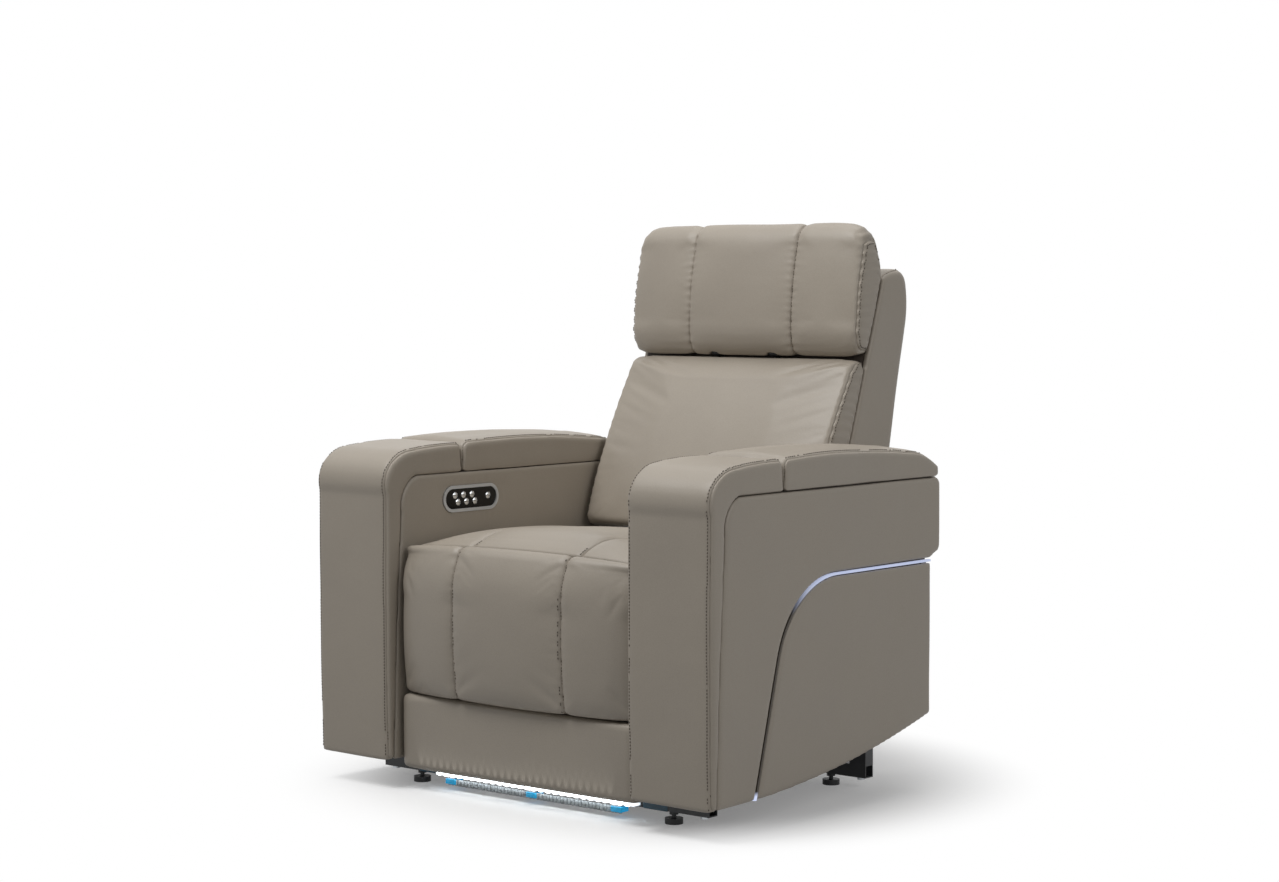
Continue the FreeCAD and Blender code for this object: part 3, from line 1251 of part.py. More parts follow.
def flap_hinge():
    """The fixed knuckles of the flap's piano hinge with their long pin and leaf."""
    upstand_y = FRONT_RAIL_Y - FRONT_UPSTAND
    pieces = [rod_x(-UPSTAND_HALF_WIDTH, UPSTAND_HALF_WIDTH, FLAP_HINGE, BAR_PIN_RADIUS)]
    for x0, far in flap_knuckles(moving=False):
        pieces.append(rod_x(x0, far, FLAP_HINGE, FLAP_KNUCKLE))
        pieces.append(box(x0, far, FLAP_HINGE[0], upstand_y, FLAP_HINGE[1] - LEAF, FLAP_HINGE[1] + LEAF))
    return fused(pieces)


def actuator(x, pivot, tip):
    """A linear actuator from its rear pivot to its rod's slack eye, as (housing, rod)."""
    length = math.hypot(tip[0] - pivot[0], tip[1] - pivot[1])
    along = unit((tip[0] - pivot[0], tip[1] - pivot[1]))
    direction = point(0, *along)
    start = point(x, *pivot)
    tube_from = ACTUATOR_EYE_RADIUS + ACTUATOR_NECK
    tube_to = length * ACTUATOR_TUBE_SHARE
    tube = Part.makeCylinder(ACTUATOR_TUBE_RADIUS, tube_to - tube_from, start + direction * tube_from, direction)
    eye = rod_x(x - ACTUATOR_EYE_HALF, x + ACTUATOR_EYE_HALF, pivot, ACTUATOR_EYE_RADIUS)
    neck = Part.makeCylinder(ACTUATOR_EYE_HALF, tube_from, start, direction)
    outward = math.copysign(1, x)
    motor = Part.makeCylinder(MOTOR_RADIUS, MOTOR_LENGTH,
                              start + direction * (tube_from + MOTOR_SET_BACK), point(outward, 0, 0))
    housing = fused([tube, neck, motor, eye])
    bore_from = tube_from + MOTOR_SET_BACK + MOTOR_RADIUS
    bore = Part.makeCylinder(ACTUATOR_ROD_RADIUS + BORE_FIT, length, start + direction * bore_from, direction)
    housing = housing.cut(bore).cut(rod_x(x - 9, x + 9, pivot, PIN_RADIUS + BORE_FIT))
    rod_from = (bore_from + tube_to) / 2
    rod = Part.makeCylinder(ACTUATOR_ROD_RADIUS, length - rod_from, start + direction * rod_from, direction)
    end_eye = rod_x(x - ACTUATOR_EYE_HALF, x + ACTUATOR_EYE_HALF, tip, ACTUATOR_EYE_RADIUS)
    rod = fused([rod, end_eye])
    rod = rod.cut(rod_x(x - 9, x + 9, tip, CRANK_PIN_RADIUS + CRANK_SLACK))
    return housing, rod


# Back, headrest and lumbar pad

def back_point(s, n):
    """A place s up the back's line and n forward of it, as (y, z)."""
    up = (math.sin(BACK_LEAN), math.cos(BACK_LEAN))
    forward = (-up[1], up[0])
    return (BACK_LINE_FOOT[0] + s * up[0] + n * forward[0], BACK_LINE_FOOT[1] + s * up[1] + n * forward[1])


def back_forward():
    return (-math.cos(BACK_LEAN), math.sin(BACK_LEAN))


def lumbar_rods(radius, n0, n1):
    rods = []
    forward = back_forward()
    for x in (-LUMBAR_ROD_X, LUMBAR_ROD_X):
        for s in (LUMBAR_LOW + 30, LUMBAR_HIGH - 30):
            rods.append(Part.makeCylinder(radius, n1 - n0, point(x, *back_point(s, n0)), point(0, *forward)))
    return rods


def back_panel():
    corners = [back_point(BACK_PANEL_FOOT, 0), back_point(BACK_PANEL_TOP, 0),
               back_point(BACK_PANEL_TOP, -PLY), back_point(BACK_PANEL_FOOT, -PLY)]
    panel = polygon(corners).slab(-BACK_PANEL_HALF_WIDTH, BACK_PANEL_HALF_WIDTH)
    for bore in lumbar_rods(LUMBAR_ROD_RADIUS + BORE_FIT, -PLY - 1, 1):
        panel = panel.cut(bore)
    return [panel]


def back_brackets():
    """Hinge plates with their pins, the recline crank and the headrest's hinge tabs."""
    x1 = PLATE_INNER_X - FIT
    x0 = x1 - PLATE
    hinge_y, hinge_z = BACK_HINGE
    corners = [(hinge_y - 8, hinge_z - 14), (hinge_y + 14, hinge_z - 12), back_point(20, -PLY - 34),
               back_point(170, -PLY - 26), back_point(170, -PLY), back_point(BACK_PANEL_FOOT, -PLY),
               back_point(BACK_PANEL_FOOT - 2, 4), (hinge_y - 12, hinge_z + 8)]
    plate = fused([polygon(corners).slab(x0, x1), rod_x(x0, x1, BACK_HINGE, HINGE_EAR_RADIUS)])
    pin = rod_x(x1 - 1, PLATE_INNER_X + PLATE + FIT + 3, BACK_HINGE, HINGE_PIN_RADIUS)
    head = rod_x(PLATE_INNER_X + PLATE + FIT, PLATE_INNER_X + PLATE + FIT + 3, BACK_HINGE, HINGE_PIN_RADIUS + 4)
    solids = both_sides(fused([plate, pin, head]))
    crank_pin = added(BACK_HINGE, RECLINE_CRANK)
    parts = []
    for side in (-1, 1):
        near = RECLINE_ACTUATOR_X + side * (ACTUATOR_EYE_HALF + 2 * FIT)
        far = near + side * CLEVIS
        corners = [back_point(BACK_PANEL_FOOT, -PLY), added(crank_pin, (-10, 0)), added(crank_pin, (10, 0)),
                   back_point(60, -PLY)]
        arm = polygon(corners).slab(min(near, far), max(near, far))
        parts.append(fused([arm, rod_x(min(near, far), max(near, far), crank_pin, 10)]))
    reach = ACTUATOR_EYE_HALF + CLEVIS
    parts.append(rod_x(RECLINE_ACTUATOR_X - reach, RECLINE_ACTUATOR_X + reach, crank_pin, CRANK_PIN_RADIUS))
    foot_plate = [back_point(BACK_PANEL_FOOT, -PLY), back_point(60, -PLY), back_point(60, -PLY - 4),
                  back_point(BACK_PANEL_FOOT, -PLY - 4)]
    parts.append(polygon(foot_plate).slab(RECLINE_ACTUATOR_X - 30, RECLINE_ACTUATOR_X + 30))
    solids.append(fused(parts))
    low_s = SHELL_TOP_ALONG - TAB_BELOW_TOP
    corners = [added(HEADREST_PIVOT, (0, -7)), back_point(low_s, 0), back_point(low_s + TAB_ROOT, 0),
               added(HEADREST_PIVOT, (0, 7))]
    tab = polygon(corners).slab(TAB_X - TAB_HALF, TAB_X + TAB_HALF)
    tab = fused([tab, rod_x(TAB_X - TAB_HALF, TAB_X + TAB_HALF, HEADREST_PIVOT, TAB_EYE_RADIUS)])
    tab = tab.cut(rod_x(TAB_X - TAB_HALF - 1, TAB_X + TAB_HALF + 1, HEADREST_PIVOT, TAB_PIN_RADIUS + BORE_FIT))
    return solids + both_sides(tab)


def back_cushion_outline(draw):
    """Side outline of the back cushion. The draw thins it towards its sides."""
    foot = BACK_CUSHION_FOOT
    top = BACK_CUSHION_TOP
    outline = Outline(back_point(foot, 0))
    outline.line(back_point(foot, 68 - draw), 0.5)
    outline.arc(back_point(foot + 5, 80 - draw), back_point(foot + 24, 87 - draw), 1.0)
    outline.arc(back_point(180, 80 - draw), back_point(top - 38, 55 - draw), 1.0)
    outline.arc(back_point(top - 13, 46 - draw), back_point(top - 2, 30 - 0.6 * draw), 1.0)
    outline.arc(back_point(top + 2, 22 - 0.5 * draw), back_point(top - 4, 8 - 0.1 * draw), 0.6)
    outline.line(back_point(top - 10, 0), 0.0)
    return outline.close()


def back_cushion():
    half = BACK_HALF_WIDTH
    draw = BACK_CUSHION_DRAW
    stations = ((half, draw, -4.0), (half - 4, draw * 0.7, -2.0), (half - 14, draw * 0.4, -0.5),
                (half - 55, draw * 0.16, 0.0), (half / 2, draw * 0.03, 0.0), (0.0, 0.0, 0.0))
    wires = [back_cushion_outline(thin).wire(-x, swell) for x, thin, swell in stations]
    wires += [back_cushion_outline(thin).wire(x, swell) for x, thin, swell in reversed(stations[:-1])]
    cushion = loft(wires)
    margin = LUMBAR_MARGIN
    deep = LUMBAR_REST + LUMBAR_PLATE + LUMBAR_TRAVEL + 2
    corners = [back_point(LUMBAR_LOW - margin, -1), back_point(LUMBAR_HIGH + margin, -1),
               back_point(LUMBAR_HIGH + margin, deep), back_point(LUMBAR_LOW - margin, deep)]
    recess = polygon(corners).slab(-LUMBAR_HALF_WIDTH - margin, LUMBAR_HALF_WIDTH + margin)
    return [cushion.cut(recess)]


def lumbar_plate():
    n0 = LUMBAR_REST
    n1 = n0 + LUMBAR_PLATE
    corners = [back_point(LUMBAR_LOW, n0), back_point(LUMBAR_HIGH, n0), back_point(LUMBAR_HIGH, n1),
               back_point(LUMBAR_LOW, n1)]
    plate = polygon(corners).slab(-LUMBAR_HALF_WIDTH, LUMBAR_HALF_WIDTH)
    return [fused([plate] + lumbar_rods(LUMBAR_ROD_RADIUS, n0 - LUMBAR_ROD_LENGTH, n0 + 1))]


def shell_outline(inset):
    """The outer back from the side, drawn in by the inset all round but its open front."""
    front_top = back_point(SHELL_TOP_ALONG - inset, -1)
    rear = [(SHELL_LINE_Y + depth - inset, SHELL_TOP - drop) for depth, drop in SHELL_REAR]
    top = (rear[0][0] + inset * 0.6 - SHELL_CREST_DEPTH, SHELL_TOP - inset)
    rear_top = added(rear[0], (0, -inset))
    outline = Outline(front_top)
    outline.arc((front_top[0] + 20, SHELL_TOP - 5 - inset), top)
    outline.arc((rear_top[0] - 9, SHELL_TOP - 5 - inset), rear_top)
    outline.arc(rear[1], rear[2])
    outline.arc(rear[3], rear[4])
    outline.line((SHELL_REAR_LOW[0] - inset, SHELL_REAR_LOW[1]))
    outline.line(SHELL_FRONT_LOW)
    outline.line(back_point(150.0, -1))
    return outline.close()


def back_shell():
    half = BACK_HALF_WIDTH
    stations = ((half, 11.0), (half - 4, 5.0), (half - 12, 1.0), (half - 30, 0.0))
    wires = [shell_outline(inset).wire(-x) for x, inset in stations]
    wires += [shell_outline(inset).wire(x) for x, inset in reversed(stations)]
    body = loft(wires)
    hollow = shell_outline(SHELL_WALL)
    hollow.points[0] = back_point(SHELL_TOP_ALONG - SHELL_WALL, 12)
    hollow.points[-1] = back_point(146.0, 12)
    hollow.points[-2] = (SHELL_FRONT_LOW[0] - 12, SHELL_FRONT_LOW[1] - 8)
    hollow.points[-3] = (SHELL_REAR_LOW[0] - SHELL_WALL, SHELL_REAR_LOW[1] - 12)
    inner = half - SHELL_WALL - FIT
    return [body.cut(hollow.slab(-inner, inner))]


def headrest_outline(crown, drop):
    """Side outline of the headrest. The drop lowers its top and lifts its foot towards the corners."""
    gap = HEADREST_GAP
    top = HEADREST_TOP - drop
    foot = HEADREST_FOOT + 0.25 * drop
    y = HEADREST_PIVOT[0]
    outline = Outline(back_point(SHELL_TOP_ALONG - HEADREST_REAR_LOW + 0.25 * drop, gap), 0.3)
    outline.line(back_point(SHELL_TOP_ALONG - HEADREST_REAR_HIGH, gap), 0.3)
    outline.arc((y + 69.5, HEADREST_TOP - 75 - 0.3 * drop), (y + 62, top - 34), 1.0)
    outline.arc((y + 49, top - 8), (y + 26, top), 1.0)
    outline.arc((y + 5 - 0.4 * crown, top - 14), (y - 4 - 0.8 * crown, top - 44), 1.0)
    outline.arc((y - 18 - crown, HEADREST_TOP - 130), (y - 22 - crown, HEADREST_TOP - 190), 1.0)
    outline.arc((y - 21 - 0.9 * crown, foot + 22), (y - 6 - 0.3 * crown, foot), 0.7)
    return outline.close()


def headrest_cushion():
    half = HEADREST_HALF_WIDTH
    corner = HEADREST_CORNER
    stations = ((half, -13.0, corner), (half - 3, -9.0, corner * 0.62), (half - 10, -5.0, corner * 0.33),
                (half - 24, -2.0, corner * 0.12), (half - 45, -0.5, corner * 0.03), (half - 80, 0.0, 0.0),
                (SEAM_X + SEAM_HALF, 0.0, 0.0), (SEAM_X, -SEAM_DEPTH, 0.0), (SEAM_X - SEAM_HALF, 0.0, 0.0),
                (0.0, 0.0, 0.0))
    places = [(-x, swell, drop) for x, swell, drop in stations]
    places += [(x, swell, drop) for x, swell, drop in reversed(stations[:-1])]
    wires = [headrest_outline(HEADREST_CROWN * (1 - (x / half) ** 2), drop).wire(x, swell)
             for x, swell, drop in places]
    cushion = loft(wires)
    half_pocket = TAB_HALF + FIT + EAR_THICKNESS + POCKET_GAP
    low = HEADREST_PIVOT[1] - 30
    pocket = box(TAB_X - half_pocket, TAB_X + half_pocket, HEADREST_PIVOT[0] - TAB_EYE_RADIUS - POCKET_GAP,
                 HEADREST_PIVOT[0] + 60, low, BRACKET_TOP)
    return [cushion.cut(pocket).cut(mirrored(pocket))]


def headrest_brackets():
    """Steel clevises in the headrest's foot, each with a pin through a tab of the back."""
    half = TAB_HALF + FIT + EAR_THICKNESS
    pivot_y, pivot_z = HEADREST_PIVOT
    plate = box(TAB_X - half, TAB_X + half, pivot_y - TAB_EYE_RADIUS, pivot_y + 24,
                BRACKET_TOP - BRACKET_PLATE, BRACKET_TOP)
    parts = [plate, rod_x(TAB_X - half, TAB_X + half, HEADREST_PIVOT, TAB_PIN_RADIUS)]
    for side in (-1, 1):
        near = TAB_X + side * (TAB_HALF + FIT)
        far = TAB_X + side * half
        ear = box(min(near, far), max(near, far), pivot_y - TAB_EYE_RADIUS, pivot_y + TAB_EYE_RADIUS,
                  pivot_z, BRACKET_TOP - BRACKET_PLATE)
        parts += [ear, rod_x(min(near, far), max(near, far), HEADREST_PIVOT, TAB_EYE_RADIUS)]
    return both_sides(fused(parts))


# All the parts by name

def all_parts():
    parts = {
        "base_cross_tubes": cross_tubes(),
        "glide_rails": glide_rails(),
        "arm_brackets": arm_brackets(),
        "arm_bolts": arm_bolts(),
        "levelling_feet": levelling_feet(),
        "light_bar_channel": light_bar_channel(),
        "light_bar_diffuser": light_bar_diffuser(),
        "power_supply": power_supply(),
        "carriage_side_plates": carriage_side_plates(),
        "glide_shoes": glide_shoes(),
        "seat_springs": seat_springs(),
        "seat_cushion": seat_cushion(),
        "rear_links": rear_links(),
        "front_links": front_links(),
        "lower_control_bars": lower_control_bars(),
        "upper_control_bars": upper_control_bars(),
        "footrest_board": footrest_board(),
        "footrest_pad": footrest_pad(),
        "kick_pad": kick_pad(),
        "bridge_flap": bridge_flap(),
        "back_panel": back_panel(),
        "back_brackets": back_brackets(),
        "back_shell": back_shell(),
        "back_cushion": back_cushion(),
        "lumbar_plate": lumbar_plate(),
        "headrest_brackets": headrest_brackets(),
        "headrest_cushion": headrest_cushion(),
    }
    front_rail, rear_rail, motor_bar = seat_cross_rails()
    parts["seat_cross_rails"] = [fused([front_rail, flap_hinge()]), rear_rail, motor_bar]
    arm = {
        "arm_front_band": [arm_front_band()],
        "arm_upper_side_panel": [padded_panel(upper_side_outline(), PAD)],
        "arm_lower_side_panel": [padded_panel(lower_side_outline(), PAD)],
        "arm_inner_panel": [arm_inner_panel()],
        "arm_frame": arm_frame(),
        "storage_bin": storage_bin(),
        "lid_board": lid_board(),
        "lid_pad": lid_pad(),
    }
    for name, solids in arm.items():
        parts["left_" + name] = solids
        parts["right_" + name] = [mirrored(solid) for solid in solids]
    hole = mirrored(control_hole())
    for name in ("right_arm_inner_panel", "right_arm_frame"):
        parts[name] = [solid.cut(hole) for solid in parts[name]]
    parts["side_light_strips"] = both_sides(side_light_strip())
    rear_panels = arm_rear_panels()
    parts["arm_rear_panels"] = rear_panels + [mirrored(panel) for panel in rear_panels]
    parts["lid_hinges"] = both_sides(lid_knuckles(moving=False)[0])
    parts["control_bezel"] = [mirrored(control_bezel())]
    parts["control_face"] = [mirrored(control_face())]
    for name, y, z in button_places():
        parts["button_" + name] = [mirrored(button(y, z))]
    foot_tip = added(LINK_PIVOT, FOOT_CRANK)
    housing, rod = actuator(FOOT_ACTUATOR_X, FOOT_ACTUATOR_PIVOT, foot_tip)
    parts["footrest_motor"] = [housing]
    parts["footrest_motor_rod"] = [rod]
    back_tip = added(BACK_HINGE, RECLINE_CRANK)
    housing, rod = actuator(RECLINE_ACTUATOR_X, RECLINE_ACTUATOR_PIVOT, back_tip)
    parts["recline_motor"] = [housing]
    parts["recline_motor_rod"] = [rod]
    return parts


def write_parts(parts):
    os.makedirs("parts", exist_ok=True)
    for name, solids in sorted(parts.items()):
        pieces = []
        for shape in solids:
            pieces += shape.Solids
        shape = pieces[0] if len(pieces) == 1 else Part.makeCompound(pieces)
        shape.translate(point(0, -OVERALL_DEPTH / 2, 0))
        shape.exportStep(os.path.join("parts", name + ".step"))
        bounds = shape.BoundBox
        print(f"{name:26s} solids {len(pieces)} valid {shape.isValid()} volume {shape.Volume / 1000:9.1f} cm3"
              f"  x {bounds.XMin:7.1f} {bounds.XMax:7.1f}  y {bounds.YMin:7.1f} {bounds.YMax:7.1f}"
              f"  z {bounds.ZMin:7.1f} {bounds.ZMax:7.1f}")


write_parts(all_parts())
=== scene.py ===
import bmesh
import bpy
import math
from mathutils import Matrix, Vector, noise
from mathutils.bvhtree import BVHTree


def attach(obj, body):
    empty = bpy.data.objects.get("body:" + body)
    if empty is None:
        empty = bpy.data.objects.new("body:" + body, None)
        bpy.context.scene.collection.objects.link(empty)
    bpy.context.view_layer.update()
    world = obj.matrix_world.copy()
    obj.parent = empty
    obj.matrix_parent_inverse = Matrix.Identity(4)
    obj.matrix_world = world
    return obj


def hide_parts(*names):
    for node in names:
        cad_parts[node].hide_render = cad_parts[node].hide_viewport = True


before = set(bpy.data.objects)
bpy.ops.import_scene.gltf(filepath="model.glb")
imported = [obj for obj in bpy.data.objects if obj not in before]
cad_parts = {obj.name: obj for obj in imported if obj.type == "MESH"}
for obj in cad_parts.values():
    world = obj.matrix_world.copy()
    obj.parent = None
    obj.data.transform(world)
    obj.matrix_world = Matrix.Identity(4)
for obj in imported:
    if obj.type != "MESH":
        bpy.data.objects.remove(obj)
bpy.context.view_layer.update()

# The studio: a smooth white floor, with soft boxes at the upper left and above, and a weaker one at
# the right. The floor keeps the seat's shadow, and fades into the white behind it further out.


def srgb(code):
    """A colour written as a hex code, as the linear values that shaders use."""
    parts = [int(code[i:i + 2], 16) / 255 for i in (1, 3, 5)]
    return tuple(c / 12.92 if c <= 0.04045 else ((c + 0.055) / 1.055) ** 2.4 for c in parts) + (1.0,)


def node(tree, kind, inputs=None, **settings):
    """A shader node. An input that is given a socket is linked, and any other is set."""
    new = tree.nodes.new("ShaderNode" + kind)
    for name, value in settings.items():
        setattr(new, name, value)
    for key, value in (inputs or {}).items():
        if isinstance(value, bpy.types.NodeSocket):
            tree.links.new(value, new.inputs[key])
        else:
            new.inputs[key].default_value = value
    return new


def material(name, **constants):
    """A new material with its main shader's plain values set, its node tree and that shader."""
    made = bpy.data.materials.new(name)
    made.use_nodes = True
    shader = made.node_tree.nodes["Principled BSDF"]
    for key, value in constants.items():
        shader.inputs[key.replace("_", " ")].default_value = value
    return made, made.node_tree, shader


bpy.ops.object.select_all(action="DESELECT")
bpy.ops.mesh.primitive_plane_add(size=24)
floor = bpy.context.object
floor.name = "studio_floor"
paint, tree, shader = material("floor_paint", Roughness=0.8)


def seen_directly(tree):
    """1 for what the camera sees, also through glass or in a reflection, and 0 for the rest."""
    path = node(tree, "LightPath").outputs
    seen = node(tree, "Math", {0: path["Is Camera Ray"], 1: path["Is Glossy Ray"]}, operation="MAXIMUM")
    seen = node(tree, "Math", {0: seen.outputs[0], 1: path["Is Transmission Ray"]}, operation="MAXIMUM")
    return seen.outputs[0]


seen = seen_directly(tree)
tint = node(tree, "Mix", {0: seen, 6: srgb("#868686"), 7: srgb("#ffffff")}, data_type="RGBA")
tree.links.new(tint.outputs[2], shader.inputs["Base Color"])
place = node(tree, "TexCoord").outputs["Object"]
away = node(tree, "VectorMath", {0: place}, operation="LENGTH").outputs["Value"]
FADE_STARTS = 0.42
FADE_ENDS = 0.74
fade = node(tree, "MapRange", {"Value": away, "From Min": FADE_STARTS, "From Max": FADE_ENDS, "To Min": 0.2},
            interpolation_type="SMOOTHSTEP")
level = node(tree, "MapRange", {"Value": seen, "To Min": 0.25, "To Max": 1.0})
white = node(tree, "Emission", {"Color": (1, 1, 1, 1), "Strength": level.outputs[0]})
mixed = node(tree, "MixShader", {0: fade.outputs[0], 1: shader.outputs[0], 2: white.outputs[0]})
tree.links.new(mixed.outputs[0], tree.nodes["Material Output"].inputs["Surface"])
floor.data.materials.append(paint)

bpy.context.scene.view_settings.view_transform = "Standard"
world = bpy.data.worlds.new("studio")
bpy.context.scene.world = world
world.use_nodes = True
tree = world.node_tree
level = node(tree, "MapRange", {"Value": seen_directly(tree), "To Min": 0.19, "To Max": 1.0})
tree.nodes["Background"].inputs["Color"].default_value = (1, 1, 1, 1)
tree.links.new(level.outputs[0], tree.nodes["Background"].inputs["Strength"])

for name, spot, aim, size, watts in (
        ("key_softbox", (-0.8, -1.8, 3.5), (0.0, 0.0, 0.5), 1.6, 76.0),
        ("top_softbox", (-0.2, 0.4, 3.4), (0.0, 0.0, 0.5), 1.8, 25.0),
        ("side_fill", (3.4, -0.8, 2.0), (0.2, 0.0, 0.5), 1.6, 24.0)):
    lamp = bpy.data.lights.new(name, "AREA")
    lamp.size = size
    lamp.energy = watts
    holder = bpy.data.objects.new(name, lamp)
    bpy.context.scene.collection.objects.link(holder)
    holder.location = spot
    holder.rotation_euler = (Vector(aim) - Vector(spot)).to_track_quat("-Z", "Y").to_euler()

# The camera stands at standing height in front of the sitter's left arm, on a long lens.
lens = bpy.data.cameras.new("camera")
lens.lens = 73.2
camera = bpy.data.objects.new("camera", lens)
bpy.context.scene.collection.objects.link(camera)
camera.location = (3.1054, -3.7795, 0.9237)
camera.rotation_euler = (math.radians(86.63), 0.0, math.radians(39.8))
bpy.context.scene.camera = camera

# The steel of the base and of the mechanism: tubes, plates and links, cut and welded, then coated
# with black powder. The coating has a fine orange peel and is a little greyer where it is thin.


def dress(made, *nodes):
    """Gives the carried-over nodes this material."""
    for name in nodes:
        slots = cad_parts[name].data.materials
        slots.clear()
        slots.append(made)


def mottled(tree, shader, low, high, scale, spread, fine, depth):
    """Ties a finish's colour and roughness to a soft noise, and its relief to a finer one."""
    place = node(tree, "TexCoord").outputs["Object"]
    cloud = node(tree, "TexNoise", {"Vector": place, "Scale": scale, "Detail": 3.0}).outputs["Fac"]
    tint = node(tree, "Mix", {0: cloud, 6: srgb(low), 7: srgb(high)}, data_type="RGBA")
    tree.links.new(tint.outputs[2], shader.inputs["Base Color"])
    gloss = node(tree, "MapRange", {"Value": cloud, "To Min": spread[0], "To Max": spread[1]})
    tree.links.new(gloss.outputs[0], shader.inputs["Roughness"])
    grit = node(tree, "TexNoise", {"Vector": place, "Scale": fine, "Detail": 2.0}).outputs["Fac"]
    relief = node(tree, "Bump", {"Strength": 0.5, "Distance": depth, "Height": grit})
    tree.links.new(relief.outputs[0], shader.inputs["Normal"])


black_steel, tree, shader = material("powder_coated_steel", IOR=1.5)
mottled(tree, shader, "#191a1c", "#26282b", 30.0, (0.38, 0.55), 1400.0, 0.0001)
dress(black_steel, "base_cross_tubes", "arm_brackets", "carriage_side_plates", "seat_cross_rails",
      "rear_links", "front_links", "lower_control_bars", "upper_control_bars", "back_brackets",
      "headrest_brackets", "glide_rails")

# Bolts, lid hinges, seat springs and the two actuator rods: bright zinc plate over turned or bent
# steel, with the faint crystals of the plating.
zinc, tree, shader = material("zinc_plate", Metallic=1.0)
mottled(tree, shader, "#a9adb1", "#c6cacd", 120.0, (0.25, 0.42), 900.0, 0.00005)
dress(zinc, "arm_bolts", "lid_hinges", "seat_springs", "footrest_motor_rod", "recline_motor_rod")

# The feet, power supply, storage bins, motor housings and lumbar plate are moulded in black
# plastic with a fine spark-eroded texture.
plastic, tree, shader = material("moulded_black_plastic", IOR=1.5)
mottled(tree, shader, "#141517", "#1d1f21", 60.0, (0.45, 0.6), 1800.0, 0.00012)
dress(plastic, "levelling_feet", "power_supply", "left_storage_bin", "right_storage_bin",
      "footrest_motor", "recline_motor", "lumbar_plate")

# The four glide shoes are cut from natural nylon bar.
nylon, tree, shader = material("natural_nylon", IOR=1.53)
mottled(tree, shader, "#ddd8c8", "#ebe7da", 25.0, (0.4, 0.5), 500.0, 0.0001)
dress(nylon, "glide_shoes")

# The boards inside the arms, lids, back and footrest are birch plywood, coloured dark brown as
# painted shade, so that no pale edge shows in a gap. The veneer's grain shows through it faintly.
plywood, tree, shader = material("plywood_painted_gap_shade", IOR=1.5)
place = node(tree, "TexCoord").outputs["Object"]
along = node(tree, "Mapping", {"Vector": place, "Scale": (60.0, 6.0, 60.0)}).outputs[0]
grain = node(tree, "TexNoise", {"Vector": along, "Scale": 2.0, "Detail": 5.0, "Distortion": 0.6})
grain = grain.outputs["Fac"]
# Painted shade: the dark brown stands for the shade in the gaps where the boards show.
tint = node(tree, "Mix", {0: grain, 6: srgb("#362e27"), 7: srgb("#443a31")}, data_type="RGBA")
tree.links.new(tint.outputs[2], shader.inputs["Base Color"])
gloss = node(tree, "MapRange", {"Value": grain, "To Min": 0.55, "To Max": 0.7})
tree.links.new(gloss.outputs[0], shader.inputs["Roughness"])
relief = node(tree, "Bump", {"Strength": 0.4, "Distance": 0.0002, "Height": grain})
tree.links.new(relief.outputs[0], shader.inputs["Normal"])
dress(plywood, "left_arm_frame", "right_arm_frame", "back_panel", "footrest_board",
      "left_lid_board", "right_lid_board")

# The light bar under the front: an extruded aluminium channel with a frosted strip in it.
# Its extrusion lines run along its length.
aluminium, tree, shader = material("extruded_aluminium", Metallic=1.0)
place = node(tree, "TexCoord").outputs["Object"]
along = node(tree, "Mapping", {"Vector": place, "Scale": (4.0, 900.0, 900.0)}).outputs[0]
lines = node(tree, "TexNoise", {"Vector": along, "Scale": 1.0, "Detail": 2.0}).outputs["Fac"]
tint = node(tree, "Mix", {0: lines, 6: srgb("#b9bdc2"), 7: srgb("#d0d3d7")}, data_type="RGBA")
tree.links.new(tint.outputs[2], shader.inputs["Base Color"])
gloss = node(tree, "MapRange", {"Value": lines, "To Min": 0.3, "To Max": 0.42})
tree.links.new(gloss.outputs[0], shader.inputs["Roughness"])
dress(aluminium, "light_bar_channel")

frosted, tree, shader = material("frosted_light_strip", Roughness=0.4, IOR=1.49)
place = node(tree, "TexCoord").outputs["Object"]
cloud = node(tree, "TexNoise", {"Vector": place, "Scale": 60.0, "Detail": 1.0}).outputs["Fac"]
tint = node(tree, "Mix", {0: cloud, 6: srgb("#e4f3fb"), 7: srgb("#ffffff")}, data_type="RGBA")
tree.links.new(tint.outputs[2], shader.inputs["Base Color"])
tree.links.new(tint.outputs[2], shader.inputs["Emission Color"])
shader.inputs["Emission Strength"].default_value = 1.2
dress(frosted, "light_bar_diffuser")

# Twenty-eight light-emitting diodes along the front of the strip, each under a small clear lens:
# half a ball, modelled once and repeated at an even pitch.
DIODES = 28
DIODE_PITCH = 0.0168
DIODE_RADIUS = 0.0046
DIODE_REAR = -0.3534
DIODE_HEIGHT = 0.0292
diode_places = [(i - (DIODES - 1) / 2) * DIODE_PITCH for i in range(DIODES)]
bpy.ops.object.select_all(action="DESELECT")
bpy.ops.mesh.primitive_uv_sphere_add(segments=10, ring_count=6, radius=DIODE_RADIUS)
lens_piece = bpy.context.object
bpy.ops.object.mode_set(mode="EDIT")
bpy.ops.mesh.select_all(action="SELECT")
bpy.ops.mesh.bisect(plane_co=(0, 0, 0), plane_no=(0, 1, 0), clear_outer=True, use_fill=True)
bpy.ops.mesh.select_all(action="SELECT")
bpy.ops.transform.resize(value=(1.0, 2.6, 1.1))
bpy.ops.object.mode_set(mode="OBJECT")


def copies(pattern, name, moves):
    """One object with a copy of the pattern's mesh at each move, which turns and shifts it."""
    points, faces = [], []
    corners = [v.co.copy() for v in pattern.data.vertices]
    loops = [tuple(p.vertices) for p in pattern.data.polygons]
    for move in moves:
        base = len(points)
        points += [move(c) for c in corners]
        faces += [tuple(base + i for i in loop) for loop in loops]
    mesh = bpy.data.meshes.new(name)
    mesh.from_pydata(points, [], faces)
    mesh.polygons.foreach_set("use_smooth", [True] * len(faces))
    made = bpy.data.objects.new(name, mesh)
    bpy.context.scene.collection.objects.link(made)
    return made


